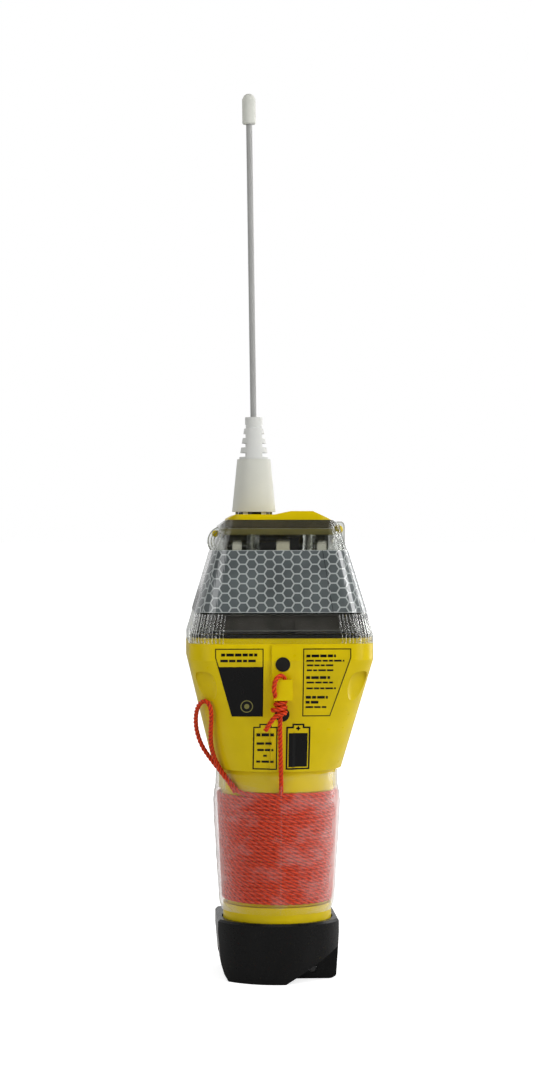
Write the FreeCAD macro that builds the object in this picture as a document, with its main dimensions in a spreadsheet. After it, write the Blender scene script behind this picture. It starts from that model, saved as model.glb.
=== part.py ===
"""Emergency position beacon standing in its wall bracket.

Millimetres, +Z up. The origin is on the axis of the lower tube, in the plane of the bracket's foot.
X runs to the right of the lanyard face, which looks along -Y. The switch face looks along +Y.
"""
import FreeCAD, Part
import math
import os
import Sketcher

Vector = FreeCAD.Vector
Rotation = FreeCAD.Rotation
Placement = FreeCAD.Placement

doc = FreeCAD.newDocument("PositionBeacon")
dims = doc.addObject("Spreadsheet::Sheet", "dims")
pieces = []

SIZES = {
    # bracket
    "cup_half": 33.6, "cup_back": 36.0, "cup_tall": 33.0, "cup_corner_y": 13.0, "cup_arc": 37.5,
    "cup_rear_round": 4.0, "cup_foot_round": 6.0, "cup_rim_bevel": 1.2,
    "draft_foot_left": 28.2, "draft_toe_left": 30.4, "draft_toe_z": 3.6, "draft_mid_left": 32.1,
    "draft_mid_z": 9.2, "draft_foot_right": 31.8, "draft_top": 25.0,
    "pocket_rad": 31.0, "pocket_floor": 17.9,
    "core_in": 2.5, "core_out": 26.5, "core_front": 12.0, "core_back": 33.0, "core_top": 15.0,
    "tab_face": 14.5, "notch_foot_x": 2.8, "notch_side_z": 18.5,
    "fixing_x": 19.0, "fixing_z": 5.4, "fixing_rad": 2.2,
    "slot_front": 8.0, "slot_back": 28.0, "slot_top": 13.0,
    "magnet_rad": 4.0, "magnet_face": 35.8, "magnet_deep": 3.0, "magnet_z": 25.5,
    # foot of the beacon
    "foot_low": 18.3, "foot_bevel": 2.0, "foot_rad": 29.6, "flange_rad": 30.2,
    "flange_low": 31.5, "flange_top": 41.3, "spigot_rad": 25.2, "spigot_top": 50.0,
    "foot_bore": 22.4, "foot_floor": 24.0, "ring_low": 44.6, "ring_high": 47.0, "ring_root": 23.9,
    "seal_mid": 24.62, "seal_wire": 0.66,
    "post_at": 21.4, "post_rad": 2.4, "post_web_at": 23.6, "post_low": 50.4, "post_top": 62.0,
    "foot_head_rad": 2.6, "foot_head_low": 19.6, "foot_head_tall": 2.2, "foot_sink_rad": 3.0,
    "foot_shank_rad": 1.4, "foot_shank_top": 58.0,
    # body shell
    "tube_low": 41.5, "tube_bore": 25.5, "groove_low_rad": 28.3, "groove_top_rad": 31.4,
    "groove_top": 105.0, "neck_rad": 32.6, "tube_top": 118.0,
    "taper_low": 116.5, "taper_low_half": 35.7, "taper_low_round": 35.2,
    "taper_top": 178.0, "body_half_x": 50.2, "body_half_y": 50.0, "body_round": 14.0,
    "body_top": 189.8, "wall": 2.8, "hollow_low": 119.0, "hollow_low_half": 33.6,
    "hollow_low_round": 33.1, "hollow_round": 19.0,
    "strip_half": 6.0, "strip_low_y": 35.8, "strip_low": 117.0, "strip_top": 186.0,
    "strip_proud": 0.9, "strip_root": 1.2,
    "lug_half": 5.0, "lug_low": 156.7, "lug_top": 167.8, "lug_front": 54.2, "lug_root": 44.8,
    "lug_bore_rad": 2.3, "lug_bore_x": 0.8, "lug_bore_y": 50.3,
    "grip_across": 41.1, "grip_along": 41.3, "grip_z": 164.5,
    "grip_tall": 12.0, "grip_wide": 7.0, "grip_deep": 2.9,
    # water contacts
    "stud_rad": 3.95, "stud_high_z": 175.9, "stud_low_z": 148.5, "stud_proud": 0.35,
    "stud_thick": 1.6, "stem_rad": 2.2, "stem_long": 9.0, "nut_rad": 4.2, "nut_thick": 2.0, "play": 0.05,
    # lens
    "skirt_low": 187.0, "skirt_seat": 0.1, "skirt_wall": 2.0, "lip_step": 2.3, "lip_wall": 2.4,
    "band_top": 191.8, "lens_low": 191.9, "lens_low_half_x": 50.1,
    "lens_low_half_y": 49.9, "lens_low_round": 13.9, "lens_top": 254.0, "lens_top_half_x": 32.0,
    "lens_top_half_y": 30.9, "lens_top_round": 7.0,
    "lens_wall": 2.2, "room_top": 247.6, "room_top_half_x": 31.65, "room_top_half_y": 30.6,
    "room_top_round": 5.3, "roof_top": 249.5, "rim_half_x": 30.3, "rim_half_y": 28.3, "rim_round": 5.0,
    "bevel_in": 28.5, "bevel_top": 254.05, "bevel_out": 35.0, "bevel_low": 249.85,
    "ear_y": 6.0, "ear_half": 4.5, "ear_low": 237.6,
    "disc_x": 30.3, "disc_z": 242.3, "disc_rad": 8.6, "disc_groove_out": 6.9, "disc_groove_in": 5.6,
    "disc_groove_deep": 3.0, "lug_ear_root": 29.0, "lug_ear_out": 38.0, "lug_ear_top": 253.3,
    "pin_left_x": 34.4, "pin_left_z": 246.6, "pin_left_rad": 1.9,
    "pin_right_x": 34.7, "pin_right_z": 248.8, "pin_right_rad": 2.6, "pin_face": 2.0,
    "boss_left_x": 14.7, "boss_right_x": 16.3, "boss_y": 21.0, "boss_rad": 3.4, "boss_low": 236.8,
    "boss_bore_rad": 1.35, "boss_bore_top": 246.9,
    # reflective tape
    "tape_low": 203.7, "tape_top": 237.4, "tape_gap": 0.05, "tape_thick": 0.35,
    # inside the lens
    "ring_foot": 192.2, "ring_head": 203.2, "ring_low_half_x": 47.1, "ring_low_half_y": 46.7,
    "ring_low_round": 10.8, "ring_top_half_x": 43.8, "ring_top_half_y": 43.3, "ring_top_round": 9.8,
    "ring_hole_x": 41.0, "ring_hole_y": 39.0, "ring_hole_round": 7.0,
    "ring_slot_left": 1.0, "ring_slot_right": 7.0, "ring_slot_y": 44.4,
    "deck_low": 196.0, "deck_top": 198.0, "deck_gap": 0.2,
    "standoff_x": 22.0, "standoff_y": 10.0, "standoff_rad": 2.6,
    "board_low": 235.0, "board_top": 236.6, "board_half_x": 32.5, "board_half_y": 30.5,
    "board_round": 5.0, "board_hole_rad": 1.5,
    "screw_head_rad": 2.5, "screw_head_low": 232.8, "screw_rad": 1.25, "screw_top": 246.2,
    "led_half": 2.5, "led_tall": 4.8, "led_window_rad": 2.0, "led_window_tall": 0.4,
    "led_left_x": 23.6, "led_right_x": 22.9,
    "led_y": 24.0, "patch_half": 9.0, "patch_tall": 4.2, "patch_y": 6.0,
    "sounder_rad": 13.0, "sounder_y": 2.0, "sounder_tall": 4.3,
    "wall_half": 30.0, "wall_y": 15.5, "wall_thin": 1.2, "wall_top": 247.2,
    "coil_left": -2.1, "coil_right": 5.1, "coil_front": 27.0, "coil_back": 20.0, "coil_tall": 5.3,
    "driver_left": 11.0, "driver_right": 2.4, "driver_tall": 5.4,
    "timer_left": 5.5, "timer_right": 10.5, "timer_tall": 8.2,
    # inside the body
    "cell_rad": 8.4, "cell_ring": 9.8, "cell_long": 34.5, "tray_rad": 18.2, "tray_low": 52.0,
    "tray_thick": 1.8, "cell_gap": 0.2, "wrap_in": 18.3, "wrap_thick": 0.3,
    "main_half": 22.0, "main_low": 129.0, "main_top": 188.0, "main_face": 0.8, "part_gap": 0.05,
    "can_half": 16.0, "can_low": 152.0, "can_top": 180.0, "can_deep": 4.5,
    "chip_half": 6.0, "chip_low": 134.0, "chip_top": 146.0, "chip_deep": 1.8,
    "reed_rad": 1.2, "reed_x": 18.0, "reed_low": 150.0, "reed_top": 164.0,
    # top cap
    "cap_half_x": 28.4, "cap_low": 254.1, "cap_step": 255.0, "cap_flat_left": 24.6,
    "cap_flat": 257.0, "hump_foot": 2.7, "hump_left": 5.9, "hump_right": 17.8, "hump_top": 258.9,
    "cap_half_y": 29.3, "cap_round": 7.5,
    "plug_low": 249.8, "plug_half_x": 28.3, "plug_half_y": 27.0, "plug_round": 4.0, "plug_wall": 2.2,
    "seal_half_x": 30.1, "seal_half_y": 28.1, "seal_round": 4.8,
    # antenna
    "aerial_x": 13.1, "socket_rad": 8.6, "socket_low": 257.1, "socket_top": 258.5,
    "stem_hole_rad": 4.2, "socket_stem_rad": 4.0, "socket_stem_low": 249.9,
    "boot_low": 258.7, "boot_top": 288.1, "boot_low_rad": 12.2, "boot_top_rad": 9.3,
    "boot_bore": 5.2, "boot_bore_top": 286.5, "boot_foot_in": 8.8, "boot_foot_out": 10.3,
    "load_rad": 4.8, "load_low": 258.9, "load_top": 286.0,
    "core_rad": 1.5, "core_end": 296.0, "sleeve_bore": 2.0,
    "sleeve_low": 288.2, "sleeve_low_rad": 8.2, "sleeve_cone_top": 305.6, "sleeve_cone_rad": 5.3,
    "sleeve_collar_rad": 4.9, "sleeve_top": 311.6, "slot_tall": 2.3, "slot_pitch": 5.3,
    "slot_first": 289.4, "web_half": 4.4,
    "whip_low": 299.6, "whip_rad": 1.7, "whip_long": 185.0, "whip_lean": 0.85,
    "tip_rad": 3.8, "tip_long": 16.8, "tip_round": 3.0, "tip_socket": 9.0,
    # switch
    "house_half": 23.0, "house_low": 141.0, "house_top": 177.0, "house_face": 51.4, "house_root": 38.0,
    "house_gap": 0.05,
    "window_half": 15.0, "window_low": 154.5, "window_top": 168.0, "window_floor": 48.3,
    "slider_left": 14.7, "slider_right": 1.0, "slider_low": 154.8, "slider_top": 167.7,
    "slider_back": 48.6, "slider_face": 53.2, "rib_proud": 0.7, "rib_thick": 1.2, "rib_pitch": 2.6,
    "slide_magnet_rad": 2.5, "slide_magnet_long": 2.4,
    "seal_right": 9.5, "seal_half": 2.0, "seal_mid_z": 161.2, "seal_gap": 0.3, "seal_thick": 0.6,
    "button_x": 11.0, "button_z": 147.8, "button_rad": 4.2, "button_hole_rad": 4.5,
    "button_back": 48.4, "button_face": 52.6, "button_floor": 46.6,
    "light_x": 11.0, "light_rad": 2.2, "light_back": 46.6, "light_proud": 0.4,
    # lanyard and its film
    "cord_dia": 2.4, "coil_gap": 0.15, "coil_deep": 2.35, "coil_low": 42.3, "coil_top": 104.8,
    "knot_x": 2.0, "knot_y": 49.9, "knot_z": 150.6, "knot_half_x": 4.5, "knot_half_y": 4.2,
    "knot_half_z": 4.7,
    "film_low": 37.6, "film_low_rad": 31.2, "film_foot": 41.5, "film_foot_rad": 32.5,
    "film_mid": 75.0, "film_mid_rad": 34.7, "film_high": 98.0, "film_high_rad": 35.8,
    "film_shoulder": 106.5, "film_top": 114.4, "film_top_rad": 34.3, "film_thick": 0.35,
}

LANYARD_BIGHT = [
    (-24.5, -23.5, 104.5), (-26.8, -21.5, 108.2), (-30.0, -18.6, 112.4), (-34.2, -17.6, 117.8),
    (-39.0, -19.2, 123.8), (-43.2, -21.8, 130.4), (-45.9, -24.6, 138.4), (-46.5, -28.2, 145.4),
    (-45.9, -32.4, 150.8), (-44.2, -36.2, 154.5), (-41.8, -39.0, 156.0), (-39.6, -40.3, 154.6),
    (-38.5, -40.0, 151.1), (-38.1, -37.3, 146.2), (-38.4, -33.0, 139.6), (-38.2, -28.0, 131.6),
    (-36.4, -23.8, 124.0), (-32.9, -21.2, 117.0), (-28.9, -22.1, 111.8), (-25.6, -24.1, 107.9),
    (-22.6, -25.6, 104.4),
]
LANYARD_LEAD = [
    (-1.6, -49.4, 147.0), (-1.1, -44.5, 133.5), (-0.6, -40.3, 122.0),
    (-0.2, -37.0, 115.0), (0.0, -34.8, 109.6), (0.1, -34.0, 104.3),
]
LANYARD_LUG_LOOP = [
    (-3.0, -51.6, 152.6), (-4.3, -54.9, 154.8), (-5.0, -56.1, 159.2), (-5.1, -56.2, 164.6),
    (-4.3, -56.0, 168.0), (-2.2, -54.4, 170.1), (0.4, -51.8, 169.7), (0.9, -50.4, 166.6),
    (0.8, -50.3, 160.8), (0.3, -50.1, 156.0), (-0.6, -50.0, 152.6),
]
LANYARD_TAIL = [(-3.6, -50.6, 148.5), (-6.6, -51.6, 144.6), (-9.6, -50.9, 140.2)]


# ---------------------------------------------------------------- the sheet and what reads it

def fill_sheet():
    """One row per size: its name in column A, the number in column B under that name."""
    for row, (name, size) in enumerate(SIZES.items(), start=1):
        dims.set(f"A{row}", name)
        dims.set(f"B{row}", str(size))
        dims.setAlias(f"B{row}", name)
    doc.recompute()


def is_number(word):
    return word[0].isdigit()


def value(expression):
    """The millimetres that a sum such as 'lens_top - wall' stands for."""
    total, sign = 0.0, 1.0
    for word in expression.split():
        if word in "+-":
            sign = 1.0 if word == "+" else -1.0
        else:
            total += sign * (float(word) if is_number(word) else dims.get(word))
            sign = 1.0
    return total


def bound(expression):
    """The same sum as an expression on the sheet's cells."""
    words = expression.split()
    return " ".join(word if word in "+-" or is_number(word) else "dims." + word for word in words)


def minus(expression):
    """The same sum with every sign turned over."""
    words = expression.split()
    if words[0] not in "+-":
        words.insert(0, "+")
    turned_over = {"+": "-", "-": "+"}
    return " ".join(turned_over.get(word, word) for word in words)


def on_side(side, expression):
    """The sum itself for the side of +X or +Y, and its mirror image for the other."""
    return expression if side > 0 else minus(expression)


def span(side, near, far):
    """The low and high sums of a stretch from near to far, on one side of the middle."""
    return (near, far) if side > 0 else (minus(far), minus(near))


def piece(solid, label):
    """Mark an object of the document as a sub-part of its own."""
    solid.Label = label
    pieces.append(solid)
    return solid


# ---------------------------------------------------------------- sketches

def new_body(name):
    return doc.addObject("PartDesign::Body", name)


def sketch_on(body, plane, offset="0"):
    """An empty sketch on one of the body's origin planes, moved along the plane's normal."""
    sketch = body.newObject("Sketcher::SketchObject", body.Name + "_sketch")
    origin = next(f for f in body.Origin.OriginFeatures if f.Role == plane)
    sketch.AttachmentSupport = [(origin, "")]
    sketch.MapMode = "FlatFace"
    if offset != "0":
        sketch.setExpression("AttachmentOffset.Base.z", bound(offset))
    return sketch


def lock(sketch, kind, line, end, expression):
    """Hold one end of a line at a distance from the sketch's origin, read from the sheet."""
    if value(expression) == 0.0:
        axis = -2 if kind == "DistanceX" else -1
        sketch.addConstraint(Sketcher.Constraint("PointOnObject", line, end, axis))
        return
    number = sketch.addConstraint(
        Sketcher.Constraint(kind, -1, 1, line, end, value(expression)))
    name = f"{kind}_{line}"
    sketch.renameConstraint(number, name)
    sketch.setExpression("Constraints." + name, bound(expression))


def draw_outline(sketch, corners):
    """A closed outline of straight lines through corners given as pairs of sums."""
    points = [Vector(value(across), value(up), 0) for across, up in corners]
    count = len(points)
    for number, start in enumerate(points):
        sketch.addGeometry(Part.LineSegment(start, points[(number + 1) % count]), False)
    for number in range(count):
        following = (number + 1) % count
        sketch.addConstraint(Sketcher.Constraint("Coincident", number, 2, following, 1))
    for number, (across, up) in enumerate(corners):
        lock(sketch, "DistanceX", number, 1, across)
        lock(sketch, "DistanceY", number, 1, up)


def draw_circle(sketch, radius, across="0", up="0"):
    centre = Vector(value(across), value(up), 0)
    sketch.addGeometry(Part.Circle(centre, Vector(0, 0, 1), value(radius)), False)
    lock(sketch, "DistanceX", 0, 3, across)
    lock(sketch, "DistanceY", 0, 3, up)
    number = sketch.addConstraint(Sketcher.Constraint("Radius", 0, value(radius)))
    sketch.renameConstraint(number, "radius")
    sketch.setExpression("Constraints.radius", bound(radius))


def draw_rounded_rectangle(sketch, half_x, half_y, radius):
    """A rectangle about the origin with four equal rounded corners."""
    wide, deep, bend = value(half_x), value(half_y), value(radius)
    flat_x, flat_y = wide - bend, deep - bend
    ends = [
        ((-flat_x, -deep), (flat_x, -deep)), ((wide, -flat_y), (wide, flat_y)),
        ((flat_x, deep), (-flat_x, deep)), ((-wide, flat_y), (-wide, -flat_y)),
    ]
    centres = [(flat_x, -flat_y), (flat_x, flat_y), (-flat_x, flat_y), (-flat_x, -flat_y)]
    for start, end in ends:
        sketch.addGeometry(Part.LineSegment(Vector(*start, 0), Vector(*end, 0)), False)
    for number, centre in enumerate(centres):
        circle = Part.Circle(Vector(*centre, 0), Vector(0, 0, 1), bend)
        first = math.radians(90 * number - 90)
        sketch.addGeometry(Part.ArcOfCircle(circle, first, first + math.pi / 2), False)
    for number in range(4):
        arc = 4 + number
        sketch.addConstraint(Sketcher.Constraint("Tangent", number, 2, arc, 1))
        sketch.addConstraint(Sketcher.Constraint("Tangent", arc, 2, (number + 1) % 4, 1))
    for arc in (5, 6, 7):
        sketch.addConstraint(Sketcher.Constraint("Equal", 4, arc))
    lock(sketch, "DistanceY", 0, 1, minus(half_y))
    lock(sketch, "DistanceX", 1, 1, half_x)
    lock(sketch, "DistanceY", 2, 1, half_y)
    lock(sketch, "DistanceX", 3, 1, minus(half_x))
    for line, direction in ((0, "Horizontal"), (1, "Vertical")):
        sketch.addConstraint(Sketcher.Constraint(direction, line))
    number = sketch.addConstraint(Sketcher.Constraint("Radius", 4, bend))
    sketch.renameConstraint(number, "round")
    sketch.setExpression("Constraints.round", bound(radius))


# ---------------------------------------------------------------- features

def revolve(body, corners):
    """Turn an outline of (radius, height) corners about the body's Z axis."""
    sketch = sketch_on(body, "XZ_Plane")
    draw_outline(sketch, corners)
    turn = body.newObject("PartDesign::Revolution", body.Name + "_turn")
    turn.Profile = sketch
    turn.ReferenceAxis = (sketch, ["V_Axis"])
    turn.Angle = 360
    return turn


def pad(body, sketch, length, both_ways=False):
    feature = body.newObject("PartDesign::Pad", body.Name + "_pad")
    feature.Profile = sketch
    feature.setExpression("Length", bound(length))
    feature.Midplane = both_ways
    return feature


def pocket(body, sketch, length):
    feature = body.newObject("PartDesign::Pocket", body.Name + "_pocket")
    feature.Profile = sketch
    feature.setExpression("Length", bound(length))
    feature.Reversed = True
    return feature


def loft(body, lower, upper, cuts=False):
    """A straight-sided loft between two rounded rectangles, each (height, half_x, half_y, radius)."""
    sketches = []
    for height, half_x, half_y, radius in (lower, upper):
        sketch = sketch_on(body, "XY_Plane", height)
        draw_rounded_rectangle(sketch, half_x, half_y, radius)
        sketches.append(sketch)
    kind = "PartDesign::SubtractiveLoft" if cuts else "PartDesign::AdditiveLoft"
    feature = body.newObject(kind, body.Name + "_loft")
    feature.Profile = sketches[0]
    feature.Sections = [sketches[1]]
    feature.Ruled = True
    return feature


def turned(name, corners, x="0", y="0"):
    body = new_body(name)
    revolve(body, corners)
    for axis, place in (("x", x), ("y", y)):
        if place != "0":
            body.setExpression("Placement.Base." + axis, bound(place))
    return body


def rounded_plate(name, low, thick, half_x, half_y, radius):
    body = new_body(name)
    sketch = sketch_on(body, "XY_Plane", low)
    draw_rounded_rectangle(sketch, half_x, half_y, radius)
    pad(body, sketch, thick)
    return body


def lofted(name, lower, upper):
    body = new_body(name)
    loft(body, lower, upper)
    return body


def prism_across(name, plane, corners, length, start="0", both_ways=False):
    """An outline on a vertical plane, padded along that plane's normal."""
    body = new_body(name)
    sketch = sketch_on(body, plane, start)
    draw_outline(sketch, corners)
    pad(body, sketch, length, both_ways)
    return body


def box(name, low, high):
    """A box between two corners, each three sums for x, y and z."""
    solid = doc.addObject("Part::Box", name)
    for size, axis, start, end in zip(("Length", "Width", "Height"), "xyz", low, high):
        solid.setExpression(size, f"{bound(end)} - ({bound(start)})")
        solid.setExpression("Placement.Base." + axis, bound(start))
    return solid


def cylinder(name, radius, start, length, turn=None):
    """A cylinder from a start point, along +Z or as a rotation turns it."""
    solid = doc.addObject("Part::Cylinder", name)
    solid.setExpression("Radius", bound(radius))
    solid.setExpression("Height", bound(length))
    if turn:
        solid.Placement = Placement(Vector(), turn)
    for axis, place in zip("xyz", start):
        solid.setExpression("Placement.Base." + axis, bound(place))
    return solid


ALONG_Y = Rotation(Vector(1, 0, 0), -90)


def cut(name, base, tool):
    result = doc.addObject("Part::Cut", name)
    result.Base = base
    result.Tool = tool
    return result


def fuse(name, solids):
    result = doc.addObject("Part::MultiFuse", name)
    result.Shapes = solids
    result.Refine = True
    return result


def common(name, first, second):
    result = doc.addObject("Part::Common", name)
    result.Base = first
    result.Tool = second
    return result


def group(name, solids):
    result = doc.addObject("Part::Compound", name)
    result.Links = solids
    return result


# ---------------------------------------------------------------- bracket

def bracket_block():
    """The outer form: flat back, straight sides and a round front, with a round pocket from above."""
    body = new_body("cup")
    sketch = sketch_on(body, "XY_Plane")
    half, back, front = value("cup_half"), value("cup_back"), -value("cup_corner_y")
    reach = value("cup_arc")
    middle = front + math.sqrt(reach ** 2 - half ** 2)
    circle = Part.Circle(Vector(0, middle, 0), Vector(0, 0, 1), reach)
    first = math.atan2(front - middle, -half)
    last = math.atan2(front - middle, half)
    sketch.addGeometry(Part.LineSegment(Vector(half, front, 0), Vector(half, back, 0)), False)
    sketch.addGeometry(Part.LineSegment(Vector(half, back, 0), Vector(-half, back, 0)), False)
    sketch.addGeometry(Part.LineSegment(Vector(-half, back, 0), Vector(-half, front, 0)), False)
    sketch.addGeometry(Part.ArcOfCircle(circle, first, last), False)
    for number in range(4):
        sketch.addConstraint(
            Sketcher.Constraint("Coincident", number, 2, (number + 1) % 4, 1))
    lock(sketch, "DistanceX", 0, 1, "cup_half")
    lock(sketch, "DistanceY", 0, 1, "- cup_corner_y")
    lock(sketch, "DistanceY", 1, 1, "cup_back")
    lock(sketch, "DistanceX", 2, 1, "- cup_half")
    for line, direction in ((0, "Vertical"), (1, "Horizontal"), (2, "Vertical")):
        sketch.addConstraint(Sketcher.Constraint(direction, line))
    sketch.addConstraint(Sketcher.Constraint("Horizontal", 2, 2, 0, 1))
    number = sketch.addConstraint(Sketcher.Constraint("Radius", 3, reach))
    sketch.renameConstraint(number, "arc")
    sketch.setExpression("Constraints.arc", bound("cup_arc"))
    pad(body, sketch, "cup_tall")
    doc.recompute()
    round_edges(body, "cup_rear_round", lambda e: upright(e) and e.CenterOfMass.y > 0)
    round_edges(body, "cup_foot_round", lambda e: at_height(e, 0.0) and runs_along_y(e))
    bevel_edges(body, "cup_rim_bevel", lambda e: at_height(e, value("cup_tall")))
    sketch = sketch_on(body, "XY_Plane", "pocket_floor")
    draw_circle(sketch, "pocket_rad")
    pocket(body, sketch, "cup_tall")
    return body


def upright(edge):
    ends = [v.Point for v in edge.Vertexes]
    return len(ends) == 2 and abs(ends[0].z - ends[1].z) > 1.0 and (ends[0] - ends[1]).x == 0.0


def at_height(edge, height):
    return all(abs(v.Z - height) < 1e-6 for v in edge.Vertexes)


def runs_along_y(edge):
    box_ = edge.BoundBox
    return box_.XLength < 1e-6 and box_.YLength > 5.0


def edges_where(body, test):
    return [f"Edge{n}" for n, edge in enumerate(body.Shape.Edges, start=1) if test(edge)]


def round_edges(body, radius, test):
    names = edges_where(body, test)
    feature = body.newObject("PartDesign::Fillet", body.Name + "_fillet")
    feature.Base = (feature.BaseFeature or body.Tip, names)
    feature.setExpression("Radius", bound(radius))
    doc.recompute()


def bevel_edges(body, size, test):
    names = edges_where(body, test)
    feature = body.newObject("PartDesign::Chamfer", body.Name + "_bevel")
    feature.Base = (feature.BaseFeature or body.Tip, names)
    feature.setExpression("Size", bound(size))
    doc.recompute()


def make_bracket():
    tools = []
    for side in (-1, 1):
        low, high = span(side, "core_in", "core_out")
        tools.append(box("cup_core", (low, "- core_front", "- 1"), (high, "core_back", "core_top")))
        hole = (on_side(side, "fixing_x"), "core_back - 2", "fixing_z")
        tools.append(cylinder("cup_fixing", "fixing_rad", hole, "8", ALONG_Y))
    tools.append(cylinder("cup_tab_hole", "fixing_rad", ("fixing_x", "- tab_face - 2", "fixing_z"),
                          "8", ALONG_Y))
    corner = [
        ("notch_foot_x", "- 1"), ("notch_foot_x", "0"), ("cup_half + 2", "notch_side_z + 1"),
        ("cup_half + 2", "- 1"),
    ]
    tools.append(prism_across("cup_notch", "XZ_Plane", corner, "40", "tab_face"))
    tools.append(prism_across("cup_draft_left", "XZ_Plane", [
        ("- cup_half - 2", "- 1"), ("- draft_foot_left", "- 1"), ("- draft_foot_left", "0"),
        ("- draft_toe_left", "draft_toe_z"), ("- draft_mid_left", "draft_mid_z"), ("- cup_half", "draft_top"),
        ("- cup_half - 2", "draft_top"),
    ], "90", both_ways=True))
    tools.append(prism_across("cup_draft_right", "XZ_Plane", [
        ("cup_half + 2", "- 1"), ("cup_half + 2", "draft_top"), ("cup_half", "draft_top"),
        ("draft_foot_right", "0"), ("draft_foot_right", "- 1"),
    ], "90", both_ways=True))
    tools.append(box("cup_slot", ("- cup_half - 1", "slot_front", "- 1"),
                     ("- core_out + 1", "slot_back", "slot_top")))
    tools.append(cylinder("cup_magnet_seat", "magnet_rad + play",
                          ("0", "magnet_face - magnet_deep", "magnet_z"), "6", ALONG_Y))
    piece(cut("cup_open", bracket_block(), fuse("cup_tools", tools)), "bracket_cup")
    piece(cylinder("magnet", "magnet_rad", ("0", "magnet_face - magnet_deep + play", "magnet_z"),
                   "magnet_deep - play", ALONG_Y), "bracket_magnet")


# ---------------------------------------------------------------- foot and batteries

def ring_of(name, radius, low, length, circle, count=3):
    """Equal upright cylinders round the axis, the first of them on +Y."""
    solids = []
    for number in range(count):
        angle = 90 + number * 360 / count
        solid = cylinder(name, radius, ("0", "0", low), length)
        solid.setExpression("Placement.Base.x", f"({bound(circle)}) * cos({angle} deg)")
        solid.setExpression("Placement.Base.y", f"({bound(circle)}) * sin({angle} deg)")
        solids.append(solid)
    return solids


def make_foot():
    cap = turned("foot", [
        ("0", "foot_low"), ("foot_rad - foot_bevel", "foot_low"), ("foot_rad", "foot_low + foot_bevel"),
        ("foot_rad", "flange_low"), ("flange_rad", "flange_low + 0.6"), ("flange_rad", "flange_top"),
        ("spigot_rad", "flange_top"), ("spigot_rad", "ring_low"), ("ring_root", "ring_low"),
        ("ring_root", "ring_high"), ("spigot_rad", "ring_high"), ("spigot_rad", "spigot_top"),
        ("foot_bore", "spigot_top"), ("foot_bore", "foot_floor"), ("0", "foot_floor"),
    ])
    posts = ring_of("foot_post", "post_rad", "foot_floor - 1", "spigot_top - foot_floor + 1",
                    "post_at")
    sinks = ring_of("foot_sink", "foot_sink_rad", "foot_low - 1", "4.6", "post_at")
    holes = ring_of("foot_hole", "foot_shank_rad + 0.2", "foot_low", "40", "post_at")
    piece(cut("foot_open", fuse("foot_posts", [cap] + posts), fuse("foot_holes", sinks + holes)),
          "foot_cap")
    seal = doc.addObject("Part::Torus", "foot_seal")
    seal.setExpression("Radius1", bound("seal_mid"))
    seal.setExpression("Radius2", bound("seal_wire"))
    seal.setExpression("Placement.Base.z", "(dims.ring_low + dims.ring_high) / 2")
    piece(seal, "foot_seal_ring")
    heads = ring_of("screw_head", "foot_head_rad", "foot_head_low", "foot_head_tall", "post_at")
    shanks = ring_of("screw_shank", "foot_shank_rad", "foot_head_low + foot_head_tall - 0.2",
                     "foot_shank_top - foot_head_low - foot_head_tall", "post_at")
    screws = [fuse("foot_screw", [head, shank]) for head, shank in zip(heads, shanks)]
    piece(group("foot_screw_set", screws), "foot_screws")


def make_batteries():
    low = "tray_low"
    for label, level in (("battery_tray_lower", low),
                         ("battery_tray_upper", low + " + tray_thick + cell_long + cell_gap + cell_gap")):
        piece(cylinder(label, "tray_rad", ("0", "0", level), "tray_thick"), label)
    number = 1
    for level in (low + " + tray_thick + cell_gap",
                  low + " + tray_thick + tray_thick + cell_long + cell_gap + cell_gap + cell_gap"):
        for solid in ring_of("cell", "cell_rad", level, "cell_long", "cell_ring"):
            piece(solid, f"battery_cell_{number}")
            number += 1
    top = low + " + tray_thick + tray_thick + cell_long + cell_long + cell_gap + cell_gap + cell_gap"
    piece(turned("wrap", [
        ("wrap_in", low), ("wrap_in + wrap_thick", low), ("wrap_in + wrap_thick", top), ("wrap_in", top),
    ]), "battery_wrap")


# ---------------------------------------------------------------- body shell

def front_at(height):
    """Distance of the flat front from the axis at a height on the taper."""
    low, high = value("taper_low"), value("taper_top")
    share = (height - low) / (high - low)
    return value("taper_low_half") + share * (value("body_half_y") - value("taper_low_half"))


def outer_sections(grow="0"):
    lower = ("taper_low", "taper_low_half + " + grow, "taper_low_half + " + grow,
             "taper_low_round + " + grow)
    upper = ("taper_top", "body_half_x + " + grow, "body_half_y + " + grow, "body_round + " + grow)
    return lower, upper


def face_tilt():
    """Turn that carries +Z to the outward normal of the sloping front."""
    slope = math.degrees(math.atan2(value("body_half_y") - value("taper_low_half"),
                                    value("taper_top") - value("taper_low")))
    return Rotation(Vector(1, 0, 0), 90 + slope)


def on_front(height, inward):
    """A point on the strip's face at a height, moved into the body along the face's normal."""
    outward = face_tilt().multVec(Vector(0, 0, 1))
    surface = Vector(0, -front_at(height) - value("strip_proud"), height)
    return surface - outward * inward


def front_disc(name, radius, length, height_name, inward):
    solid = doc.addObject("Part::Cylinder", name)
    solid.setExpression("Radius", bound(radius))
    solid.setExpression("Height", bound(length))
    solid.Placement = Placement(on_front(value(height_name), inward), face_tilt())
    return solid


def lip_room(name, low, thick):
    """The space inside the upright lip that the lens fits over."""
    return rounded_plate(name, low, thick, "body_half_x - lip_step - lip_wall",
                         "body_half_y - lip_step - lip_wall", "body_round - lip_step - lip_wall")


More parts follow.
